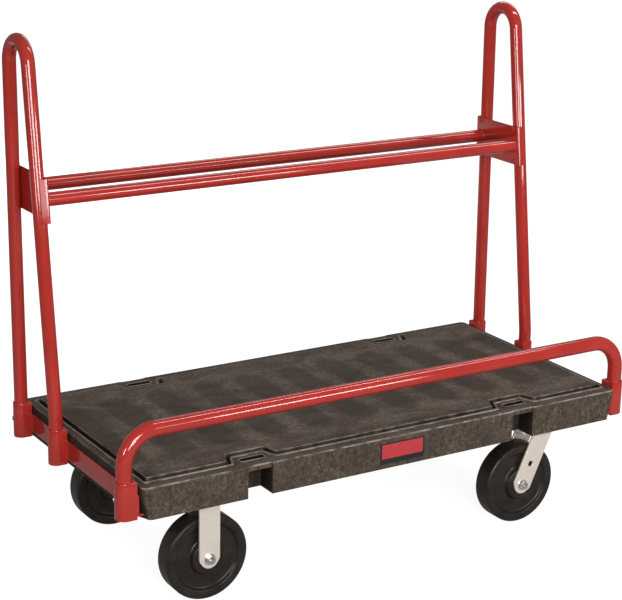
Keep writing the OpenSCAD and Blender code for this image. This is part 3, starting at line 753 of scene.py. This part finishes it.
def add_skirt_inside(shape, foot, half_count):
    """The skirt's lower edge and inner wall, led round the notches, and the underside of the skin."""
    outer_foot = []
    inner_foot = []
    inner = deck_loop(SKIRT_T, SKIRT_Z, end=SKIRT_T)
    deep = NOTCH_D + RIB_T
    for sign, start in ((1, 0), (-1, half_count)):
        def spot(x, inset):
            return (sign * x, sign * (inset - HALF_W), SKIRT_Z)

        for x in STATIONS:
            centre = math.copysign(SLOT_X, x)
            beside = centre + math.copysign(SLOT_L / 2 + RIB_T, x - centre)
            if not in_slot(x):
                is_clear = from_slot(x) > SLOT_L / 2 + RIB_T
                outer_foot.append(spot(x, 0))
                inner_foot.append(spot(x if is_clear else beside, SKIRT_T))
            elif in_slot(x, -SAME):
                outer_foot.append(spot(x, NOTCH_D))
                inner_foot.append(spot(x, deep))
            else:
                order = 1 if x < centre else -1
                outer_foot.extend([spot(x, 0), spot(x, NOTCH_D)][::order])
                inner_foot.extend([spot(beside, SKIRT_T), spot(beside, deep)][::order])
        short_side = slice(start + len(STATIONS), start + half_count)
        outer_foot.extend(shape.points[i] for i in foot[short_side])
        inner_foot.extend(inner[short_side])
    outer_row = shape.row(outer_foot)
    inner_row = shape.row(inner_foot)
    ceiling = shape.row([(x, y, SKIN_Z) for x, y, z in inner_foot])
    shape.band(outer_row, inner_row)
    shape.band(inner_row, ceiling)
    shape.faces.append(tuple(ceiling))


def add_ribs(shape):
    """Ribs and caster pads under the deck's skin; the ribs end a hair above the skirt's foot."""
    reach_x = HALF_L - SKIRT_T
    reach_y = HALF_W - SKIRT_T
    count_x = math.ceil(2 * HALF_L / RIB_PITCH)
    count_y = math.ceil(2 * HALF_W / RIB_PITCH)
    for k in range(1, count_x):
        x = k * (2 * HALF_L / count_x) - HALF_L
        shape.block((x - RIB_T / 2, -reach_y, SKIRT_Z + RIB_RECESS), (x + RIB_T / 2, reach_y, SKIN_Z))
    for k in range(1, count_y):
        y = k * 2 * HALF_W / count_y - HALF_W
        shape.block((-reach_x, y - RIB_T / 2, SKIRT_Z + 2 * RIB_RECESS), (reach_x, y + RIB_T / 2, SKIN_Z))
    pad_near = SLOT_X + SLOT_L / 2 + RIB_T
    pad_far = CASTER_X + PAD_L / 2
    for sign in (-1, 1):
        for y in (-CASTER_Y, CASTER_Y):
            low_x, high_x = sorted((sign * pad_near, sign * pad_far))
            shape.block((low_x, y - PAD_W / 2, SKIRT_Z), (high_x, y + PAD_W / 2, SKIN_Z))


def make_slot_rims():
    """A low rounded rim round each tie-down slot."""
    shape = Shape()
    half_l = SLOT_L / 2 + SLOT_RIM_R / 2
    half_w = (SLOT_FAR - SLOT_IN + SLOT_RIM_R) / 2
    middle = HALF_W - (SLOT_FAR + SLOT_IN) / 2
    for x in (-SLOT_X, SLOT_X):
        for y in (-middle, middle):
            corners = rectangle((x - half_l, y - half_w), (x + half_l, y + half_w))
            path = fillet([(*corner, LEDGE_Z) for corner in corners], [SLOT_CORNER_R] * 4, closed=True)
            shape.tube(path + path[:1], SLOT_RIM_R, Z_AXIS, 12)
    shape.piece("slot_rims", DECK, sharp=SHARP_TUBE)


def make_label():
    """A plain dark sheet with a plain red panel."""
    sheets = (("skirt_sticker", STICKER_DARK, LABEL_SHEET), ("skirt_sticker_panel", STICKER_RED, LABEL_PANEL))
    for name, look, (low, high, radius, thick) in sheets:
        outline = fillet(rectangle(low, high), [radius] * 4, closed=True)
        back = LABEL_SUNK - HALF_W
        front = -HALF_W - thick
        shape = Shape()
        shape.slab([outline], lambda p: (p[0], back, p[1]), lambda p: (p[0], front, p[1]))
        shape.piece(name, look)


def make_mould_ring():
    shape = Shape()
    profile = [(0.0062, -0.001), (0.0060, 0.0006), (0.0048, 0.0008), (0.0040, 0.0002), (0.0020, 0.0001)]
    shape.turned(profile, at(MOULD_RING_X, -HALF_W, MOULD_RING_Z, ALONG_MINUS_Y), 32)
    shape.piece("skirt_mould_ring", DECK)


# Red frame


def leg_y(y, lean, z):
    """Where a leaning leg's centre line is at a height."""
    return y + math.tan(lean) * (z - LEAN_Z - FOOT_BEND * math.tan(lean / 2))


def front_y(z):
    return leg_y(FRONT_LEG_Y, FRONT_LEAN, z)


def rear_y(z):
    return leg_y(REAR_LEG_Y, REAR_LEAN, z)


def make_a_frame(end, sign):
    """One tube up from the front socket, over the top and down to the rear socket."""
    x = sign * FRAME_X
    closing = math.tan(FRONT_LEAN) - math.tan(REAR_LEAN)
    gap = rear_y(FRAME_TOP) - front_y(FRAME_TOP)
    top_bend = gap / (1 / math.cos(REAR_LEAN) + 1 / math.cos(FRONT_LEAN) - closing)
    peak_z = FRAME_TOP + gap / closing
    corners = [
        (x, FRONT_LEG_Y, TUBE_FOOT),
        (x, FRONT_LEG_Y, LEAN_Z + FOOT_BEND * math.tan(FRONT_LEAN / 2)),
        (x, front_y(peak_z), peak_z),
        (x, REAR_LEG_Y, LEAN_Z + FOOT_BEND * math.tan(REAR_LEAN / 2)),
        (x, REAR_LEG_Y, TUBE_FOOT),
    ]
    shape = Shape()
    shape.tube(fillet(corners, [0, FOOT_BEND, top_bend, FOOT_BEND, 0], step=BEND_STEP), TUBE_R, X_AXIS)
    shape.piece(end + "_leaning_frame", RED, [end + "_a_frame"], sharp=SHARP_TUBE)


def make_rail():
    """The front rail, bent over at both ends."""
    corners = [
        (-RAIL_X, RAIL_Y, rail_low.z),
        (-RAIL_X, RAIL_Y, RAIL_Z),
        (RAIL_X, RAIL_Y, RAIL_Z),
        (RAIL_X, RAIL_Y, rail_low.z),
    ]
    shape = Shape()
    shape.tube(fillet(corners, [0, RAIL_BEND, RAIL_BEND, 0], step=BEND_STEP), RAIL_R, Y_AXIS)
    shape.piece("rail_tube", RED, ["front_rail"], sharp=SHARP_TUBE)


def add_bead(shape, path, closed, radius, ripple):
    """A weld bead: a small rippled ridge along a path."""
    rows = []
    count = len(path)
    for i, point in enumerate(path):
        last = path[i - 1] if closed or i else point
        following = path[(i + 1) % count] if closed or i < count - 1 else point
        ahead = (following - last).normalized()
        side = ahead.orthogonal().normalized()
        other = ahead.cross(side)
        size = radius * (1 + ripple * (-1) ** i)
        rows.append([point + size * (math.cos(a) * side + math.sin(a) * other) for a in turn_angles(8)])
    shape.loft(rows, ring=closed)


def make_cross_tube(row, y):
    """A cross tube with its weld beads against the brackets."""
    shape = Shape()
    shape.tube([Vector((k * CROSS_X / 2, y, CROSS_Z)) for k in (-2, -1, 0, 1, 2)], TUBE_R, Y_AXIS)
    for sign in (-1, 1):
        centre = Vector((sign * (CROSS_X - CROSS_BEAD_IN), y, CROSS_Z))
        size = TUBE_R + CROSS_BEAD_PROUD
        angles = turn_angles(CROSS_BEAD_STEPS)
        path = [centre + size * Vector((0, math.cos(a), math.sin(a))) for a in angles]
        add_bead(shape, path, True, *CROSS_BEAD)
    shape.piece(row + "_cross_bar", RED, [row + "_cross_tube"], sharp=SHARP_TUBE)


def bracket_outline(z, sign):
    """Section of a bracket at a height: a web with two flanges bent outwards round the legs."""
    room = TUBE_R + FIT + BRACKET_T
    front = front_y(z) - room / math.cos(FRONT_LEAN)
    rear = rear_y(z) + room / math.cos(REAR_LEAN)
    web = bracket_low.x
    tip = bracket_high.x
    inner_bend = BRACKET_BEND - BRACKET_T
    rows = [
        (tip, front, 0), (web, front, BRACKET_BEND),
        (web, rear, BRACKET_BEND), (tip, rear, 0),
        (tip, rear - BRACKET_T, 0), (web + BRACKET_T, rear - BRACKET_T, inner_bend),
        (web + BRACKET_T, front + BRACKET_T, inner_bend), (tip, front + BRACKET_T, 0),
    ]
    return [(sign * x, y, z) for x, y in rounded(rows, closed=True)]


def make_bracket(end, sign):
    """The bent plate that carries the cross tubes between a frame's legs."""
    low, high = bracket_low.z, bracket_high.z
    shape = Shape()
    shape.loft([bracket_outline(z, sign) for z in (low, low + BRACKET_STEP, high - BRACKET_STEP, high)])
    shape.piece(end + "_bracket_plate", RED, [end + "_bracket"], bevel=0.0007)


def add_pan_head(shape, place):
    """A low domed screw head with a socket."""
    socket = hexagon(SCREW_SOCKET)
    dome = [(1, 0), (1, 0.30), (0.93, 0.62), (0.74, 0.88), (0.5, 1)]
    profile = [(share * SCREW_R, up * SCREW_H) for share, up in dome]
    shape.turned(profile + [(socket, SCREW_H), (socket, 0.4 * SCREW_H)], place, 36)


def make_heads(kind, look, places, add_head, *sizes):
    """All heads of one kind of screw or bolt, as one piece."""
    shape = Shape()
    for place in places:
        add_head(shape, place, *sizes)
    shape.piece(kind + "_heads", look, [kind + "s"])


def make_screws():
    """Screws through the brackets into the legs, and through the sockets into the tubes."""
    heights = (bracket_low.z + BRACKET_SCREW_EDGE, bracket_high.z - BRACKET_SCREW_EDGE)
    places = [at(sign * bracket_low.x, y, z, turn)
              for sign, turn in ((-1, ALONG_X), (1, ALONG_MINUS_X))
              for z in heights for y in (front_y(z), rear_y(z))]
    make_heads("bracket_screw", RED, places, add_pan_head)
    places = []
    z = (rear_socket_low.z + rear_socket_high.z) / 2
    for sign in (-1, 1):
        out = Vector((sign * math.cos(SOCKET_SCREW_TURN), math.sin(SOCKET_SCREW_TURN), 0))
        turn = out.to_track_quat("Z", "Y").to_matrix().to_4x4()
        for x, y, radius in ((FRAME_X, REAR_LEG_Y, TUBE_R), (RAIL_X, RAIL_Y, RAIL_R)):
            spot = Vector((sign * x, y, z)) + (radius + FIT + SOCKET_T - SCREW_SUNK) * out
            places.append(at(*spot, turn))
    make_heads("socket_screw", FASTENER, places, add_pan_head)


def make_channel(end, sign):
    """The angle that covers the deck's end and turns under it."""
    low, high = channel_low, channel_high
    web_in = high.x - CHANNEL_T
    flange_top = low.z + CHANNEL_T
    rows = [
        (low.x, low.z, 0), (high.x, low.z, 0.007),
        (high.x, high.z, 0.0012), (web_in, high.z, 0.0012),
        (web_in, flange_top, 0.003), (low.x, flange_top, 0),
    ]
    outline = rounded(rows, closed=True)
    shape = Shape()
    shape.loft([[(sign * x, y, z) for x, z in outline] for y in (low.y, high.y)])
    shape.piece(end + "_end_angle", RED, [end + "_end_channel"], bevel=0.0006)


def make_socket(kind, end, sign, x, y, tube_r):
    """A socket: a round nose with flat flanks back to the channel, welded down both sides."""
    name = f"{end}_{kind}"
    node = name + "_socket"
    bore = tube_r + FIT
    size = bore + SOCKET_T
    low, high = (corner.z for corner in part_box(node))

    def flat_backed(inset):
        def radius(angle):
            reach = max(abs(math.cos(angle)), abs(math.sin(angle)))
            return (size - inset) / (1 if math.cos(angle) > 0 else reach)
        return radius

    outside = [
        (0.0020, low), (0.0005, low + 0.0006), (0, low + 0.002),
        (0, high - 0.0014), (0.0004, high - 0.0004), (0.0013, high),
    ]
    inside = [(bore + 0.0006, high), (bore, high - 0.0006), (bore, high - SOCKET_BORE_D)]
    profile = [(flat_backed(inset), z) for inset, z in outside] + inside
    shape = Shape()
    shape.turned(profile, at(sign * x, y, 0, Matrix.Scale(sign, 4, X_AXIS)), 64)
    web_x = sign * (channel_high.x - BEAD_SUNK)
    for flank in (-1, 1):
        bead_y = y + flank * (size + BEAD_SUNK)
        if channel_low.y + BEAD_EDGE < bead_y < channel_high.y - BEAD_EDGE:
            heights = [channel_low.z + BEAD_UP + k * BEAD_L / BEAD_STEPS for k in range(BEAD_STEPS + 1)]
            add_bead(shape, [Vector((web_x, bead_y, z)) for z in heights], False, *BEAD)
    shape.piece(name + "_holder", RED, [node], sharp=SHARP_TURNED)


def make_red_frame():
    for end, sign in (("left", -1), ("right", 1)):
        make_a_frame(end, sign)
        make_bracket(end, sign)
        make_channel(end, sign)
        make_socket("rear_leg", end, sign, FRAME_X, REAR_LEG_Y, TUBE_R)
        make_socket("front_leg", end, sign, FRAME_X, FRONT_LEG_Y, TUBE_R)
        make_socket("rail", end, sign, RAIL_X, RAIL_Y, RAIL_R)
    make_rail()
    make_cross_tube("front", front_y(CROSS_Z))
    make_cross_tube("rear", rear_y(CROSS_Z))
    make_screws()


# Casters


def add_plate(shape, x, y):
    corners = rectangle((-PLATE_L / 2, -PLATE_W / 2), (PLATE_L / 2, PLATE_W / 2))
    outline = fillet(corners, [PLATE_CORNER_R] * 4, closed=True)
    shape.slab([outline], lambda p: (x + p[0], y + p[1], PLATE_Z),
               lambda p: (x + p[0], y + p[1], PLATE_Z + PLATE_T))


def leg_side(width, top, rake):
    """Right half of a leg's outline from the tip's lowest point up."""
    half = width / 2
    reach = math.hypot(half, TIP_DROP)
    start = math.acos(LEG_END_R / reach) + math.atan2(TIP_DROP, half)
    steps = 10
    angles = [math.pi / 2 - k * (math.pi / 2 - start) / steps for k in range(steps + 1)]
    tip = [Vector((LEG_END_R * math.cos(a), -LEG_END_R * math.sin(a))) for a in angles]
    side_top = (half, (top + half * math.sin(rake)) / math.cos(rake))
    return tip[:-1] + fillet([tip[-1], (half, -TIP_DROP), side_top], [0, LEG_SHOULDER_R, 0])


def leg_outlines(width, top, rake, has_hole):
    """Both halves of a leg's face, parted down the middle, round the square hole where it has one."""
    def flipped(points):
        return [Vector((-p.x, p.y)) for p in points]

    right = leg_side(width, top, rake)
    left_top = Vector((-width / 2, (top - width / 2 * math.sin(rake)) / math.cos(rake)))
    left = flipped(right[:-1]) + [left_top]
    middle = [Vector((0, top / math.cos(rake)))]
    hole = []
    if has_hole:
        h = LOCK_HOLE / 2
        hole = [Vector((x, LOCK_HOLE_UP + up)) for x, up in ((0, h), (h, h), (h, -h), (0, -h))]
    turn = Matrix.Rotation(-rake, 2)
    halves = (right + middle + hole, left + middle + flipped(hole))
    return [[turn @ point for point in half] for half in halves]


def bend_path(out, top, low, bend):
    """Line of a strip bent over the wheel, across and up."""
    corners = [(-out, low), (-out, top), (out, top), (out, low)]
    radius = bend - FORK_BEND_SHORT
    return fillet(corners, [0, radius, radius, 0])


def add_fork(shape, x, y, width, crown_top, rake, has_hole):
    """A fork: two legs standing on the axle at x and a strip bent over the wheel between them."""
    bend_z = crown_top - FORK_BEND
    top = bend_z - WHEEL_R
    inside = FORK_OUT - FORK_T
    outlines = leg_outlines(width, top, rake, has_hole)

    def on_top(p, q):
        return abs(p[1] - top) < SAME and abs(q[1] - top) < SAME

    for sign in (-1, 1):
        shape.slab(outlines, lambda p: (x + p[0], y + sign * inside, WHEEL_R + p[1]),
                   lambda p: (x + p[0], y + sign * FORK_OUT, WHEEL_R + p[1]), on_top)

    def edge(side, point):
        along = (point.y - WHEEL_R + side * math.sin(rake)) / math.cos(rake)
        return (x + side * math.cos(rake) + along * math.sin(rake), y + point.x, point.y)

    half = width / 2
    outer_path = bend_path(FORK_OUT, crown_top, bend_z, FORK_BEND)
    inner_path = bend_path(inside, crown_top - FORK_T, bend_z, FORK_BEND - FORK_T)
    rows = [[edge(-half, out), edge(half, out), edge(half, inn), edge(-half, inn)]
            for out, inn in zip(outer_path, inner_path)]
    shape.loft(rows, capped=False)


def make_rigid_fork(row, y):
    shape = Shape()
    add_plate(shape, -CASTER_X, y)
    add_fork(shape, -CASTER_X, y, RIGID_LEG_W, PLATE_Z, 0, False)
    shape.piece(row + "_rigid_bracket", PLATED, [row + "_rigid_fork"], bevel=FORK_BEVEL)


def make_swivel_plate(row, y):
    """A swivel caster's top plate with its race."""
    shape = Shape()
    add_plate(shape, CASTER_X, y)
    low = CROWN_TOP + RACE_GAP
    inner = RACE_R - RACE_W
    profile = [
        (inner, PLATE_Z + 0.001), (inner, low),
        (RACE_R - 0.0020, low), (RACE_R - 0.0006, low + 0.0006), (RACE_R, low + 0.0020),
        (RACE_R, PLATE_Z - 0.002), (RACE_R + 0.001, PLATE_Z + 0.001),
    ]
    shape.turned(profile, at(CASTER_X, y, 0), RACE_SIDES, ring=True)
    shape.piece(row + "_swivel_top", PLATED, [row + "_swivel_plate"], bevel=0.0008)


def make_swivel_fork(row, y):
    """A swivel fork with the round crown that turns under the race."""
    shape = Shape()
    add_fork(shape, CASTER_X - SWIVEL_LEAD, y, SWIVEL_LEG_W, CROWN_TOP, RAKE, True)
    low = CROWN_TOP - FORK_T
    profile = [
        (CROWN_BORE_R, CROWN_TOP), (CROWN_BORE_R, low),
        (RACE_R - CROWN_EDGE, low), (RACE_R, low + CROWN_EDGE),
        (RACE_R, CROWN_TOP - CROWN_EDGE), (RACE_R - CROWN_EDGE, CROWN_TOP),
    ]
    shape.turned(profile, at(CASTER_X, y, 0), RACE_SIDES, ring=True)
    shape.piece(row + "_swivel_bracket", PLATED, [row + "_swivel_fork"], row + "_swivel", bevel=FORK_BEVEL)


def wheel_profile():
    """Closed section of a wheel, from the bore over hub, dish, rim and tread and back."""
    rim_r = WHEEL_R - RIM_FACE
    half = [
        (WHEEL_BORE_R, HUB_L / 2, 0.0008),
        (HUB_R, HUB_L / 2, 0.0035),
        (HUB_R + DISH_RUN, WHEEL_WEB / 2, 0.006),
        (rim_r - DISH_RUN, WHEEL_WEB / 2, 0.006),
        (rim_r, WHEEL_W / 2 - 0.0015, 0.003),
        (WHEEL_R - 0.004, WHEEL_W / 2, 0.003),
        (WHEEL_R, WHEEL_W / 2 - 0.004, 0.003),
    ]
    full = half + [(r, -h, radius) for r, h, radius in reversed(half)]
    return rounded(full, closed=True, step=math.radians(14))


def make_wheel(caster, x, y):
    shape = Shape()
    shape.turned(wheel_profile(), at(x, y, WHEEL_R, ALONG_Y), 128, ring=True)
    shape.piece(caster + "_roller", WHEEL, [caster + "_wheel"], caster + "_roll", sharp=SHARP_TURNED)


def add_hex_head(shape, place, flats, height, flange):
    """A hexagon head with a turned face and a thin round flange under it."""
    corner = flats / 2 / math.cos(math.pi / 6)
    waist = hexagon(flats)
    chamfer = 0.0016
    profile = [
        (flange, 0), (flange, 0.0011), (flange - 0.0006, chamfer),
        (waist, chamfer), (waist, height - chamfer),
        (hexagon(flats, 0.965 * corner), height - 0.0007), (hexagon(flats, 0.90 * corner), height),
    ]
    shape.turned(profile, place, 72)


def add_thread_end(shape, place):
    """The end of an axle's thread, with one groove and a chamfer."""
    thread = [(0.98, 0), (1, 0.3), (0.90, 0.8), (0.95, 1)]
    profile = [(AXLE_R * share, turns * THREAD_PITCH) for share, turns in thread]
    shape.turned(profile + [(AXLE_R * 0.78, THREAD_OVER)], place, 40)


def make_axle(caster, body, x, y, sign):
    """Axle bolt through a wheel; sign points from the fork to the nut's side."""
    out_turn, in_turn = (ALONG_Y, ALONG_MINUS_Y) if sign > 0 else (ALONG_MINUS_Y, ALONG_Y)
    shape = Shape()
    add_hex_head(shape, at(x, y - sign * FORK_OUT, WHEEL_R, in_turn), *AXLE_HEAD)
    shank = [(AXLE_R, -FORK_OUT), (AXLE_R, FORK_OUT + AXLE_NUT_H)]
    shape.turned(shank, at(x, y, WHEEL_R, out_turn), 40)
    add_thread_end(shape, at(x, y + sign * (FORK_OUT + AXLE_NUT_H), WHEEL_R, out_turn))
    shape.piece(caster + "_axle_bolt", FASTENER, [caster + "_axle"], body)
    nut = Shape()
    add_hex_head(nut, at(x, y + sign * FORK_OUT, WHEEL_R, out_turn), *AXLE_NUT)
    nut.piece(caster + "_axle_lock_nut", FASTENER, [caster + "_axle_nut"], body)


def make_bolts():
    """Bolts up through the caster plates and the end channels into the deck."""
    out_x = PLATE_L / 2 - CASTER_BOLT_EDGE
    out_y = PLATE_W / 2 - CASTER_BOLT_EDGE
    places = [at(x + dx, y + dy, PLATE_Z, UPSIDE_DOWN)
              for x in (-CASTER_X, CASTER_X) for y in (-CASTER_Y, CASTER_Y)
              for dx in (-out_x, out_x) for dy in (-out_y, out_y)]
    make_heads("caster_bolt", FASTENER, places, add_hex_head, *CASTER_BOLT)
    places = [at(sign * (HALF_L - CHANNEL_BOLT_IN), y, channel_low.z, UPSIDE_DOWN)
              for sign in (-1, 1) for y in CHANNEL_BOLT_PLACES]
    make_heads("channel_bolt", FASTENER, places, add_hex_head, *CHANNEL_BOLT)


def make_casters():
    for row, sign in (("front", -1), ("rear", 1)):
        y = sign * CASTER_Y
        swivel_x = CASTER_X - SWIVEL_LEAD
        make_rigid_fork(row, y)
        make_swivel_plate(row, y)
        make_swivel_fork(row, y)
        make_wheel(row + "_rigid", -CASTER_X, y)
        make_wheel(row + "_swivel", swivel_x, y)
        make_axle(row + "_rigid", "cart", -CASTER_X, y, sign)
        make_axle(row + "_swivel", row + "_swivel", swivel_x, y, sign)
    make_bolts()


def dress_inner_nodes():
    """Bearings, bushes, balls and kingpins stay as packed, with softened edges and steel."""
    for name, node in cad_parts.items():
        if name.endswith(("_bearing", "_bush", "_balls", "_kingpin", "_kingpin_nut")):
            node.data.materials.clear()
            node.data.materials.append(STEEL[0])
            weld = node.modifiers.new("weld", "WELD")
            weld.merge_threshold = SAME
            if not name.endswith("_balls"):
                soften(node, 0.0005)


# Scene


def make_floor():
    """A wide pale floor: near white to the camera, with the object's shadow kept."""
    reach = 60
    mesh = bpy.data.meshes.new("floor")
    corners = [(x, y, 0) for x, y in rectangle((-reach, -reach), (reach, reach))]
    mesh.from_pydata(corners, [], [(0, 1, 2, 3)])
    finish = Finish("floor", 0.1)
    spot = {0: finish.coordinates["Object"]}
    away = finish.add("ShaderNodeVectorMath", spot, operation="LENGTH").outputs[1]
    seen = finish.times(finish.background_share(), finish.remap(away, 1.0, 3.0, 0.90, 1.0))
    glow = finish.add("ShaderNodeEmission", {"Strength": seen})
    both = finish.add("ShaderNodeAddShader", {0: finish.shader.outputs[0], 1: glow.outputs[0]})
    finish.links.new(both.outputs[0], finish.nodes["Material Output"].inputs["Surface"])
    mesh.materials.append(finish.done((0.27, 0.27, 0.27, 1), 0.9))
    floor = new_object("floor", mesh)


def make_world():
    """An even soft surround that the camera sees as white, and reflections in part."""
    world = bpy.data.worlds.new("studio")
    bpy.context.scene.world = world
    tree = Nodes(world)
    soft = tree.nodes["Background"]
    soft.inputs["Color"].default_value = WHITE
    soft.inputs["Strength"].default_value = 0.16
    white = tree.add("ShaderNodeBackground", {"Color": WHITE, "Strength": 1.0})
    shares = {0: tree.background_share(), 1: soft.outputs[0], 2: white.outputs[0]}
    mixed = tree.add("ShaderNodeMixShader", shares)
    tree.links.new(mixed.outputs[0], tree.nodes["World Output"].inputs["Surface"])


def make_lamp(name, spot, target, width, height, power):
    """A soft rectangular lamp."""
    light = bpy.data.lights.new(name, "AREA")
    light.shape = "RECTANGLE"
    light.size = width
    light.size_y = height
    light.energy = power
    lamp = new_object(name, light)
    lamp.location = spot
    lamp.rotation_euler = (Vector(target) - Vector(spot)).to_track_quat("-Z", "Y").to_euler()
    lamp.visible_camera = False
    return lamp


def make_lights():
    make_lamp("key", (-1.7, -4.2, 1.9), (0, 0, 0.6), 1.9, 1.9, 165)
    make_lamp("right_box", (1.06, -2.4, 1.05), (1.06, 0, 0.95), 0.92, 0.45, 24.5)
    make_lamp("right_box_edge", (0.425, -2.4, 1.05), (0.425, 0, 0.95), 0.35, 0.45, 2.0)
    make_lamp("left_box", (-2.6, -1.2, 1.05), (0, 0, 0.6), 0.5, 0.6, 13)
    make_lamp("overhead", (1.3, -0.45, 3.0), (1.3, -0.1, 0.5), 2.4, 0.26, 28)
    make_lamp("back_top", (2.0, 2.0, 3.0), (0, 0, 0.6), 2.6, 0.5, 19)
    rear_fill = make_lamp("rear_fill", (-0.6, 4.4, 0.8), (0, 0, 0.7), 3.0, 1.2, 130)
    rear_fill.visible_glossy = False


def make_camera():
    """The camera fitted to the photograph."""
    yaw = Matrix.Rotation(math.radians(-32.01), 4, "Z")
    tilt = Matrix.Rotation(math.radians(90 - 16.81), 4, "X")
    roll = Matrix.Rotation(math.radians(1.17), 4, "Z")
    data = bpy.data.cameras.new("camera")
    data.sensor_fit = "HORIZONTAL"
    data.sensor_width = 36
    data.lens = 103.515
    data.clip_end = 200
    camera = new_object("camera", data)
    camera.matrix_world = at(-2.21793, -3.47852, 1.81262, yaw @ tilt @ roll)
    bpy.context.scene.camera = camera


make_camera()
make_deck()
make_slot_rims()
make_label()
make_mould_ring()
make_red_frame()
make_casters()
dress_inner_nodes()
make_floor()
make_world()
make_lights()
bpy.context.scene.view_settings.view_transform = "Standard"
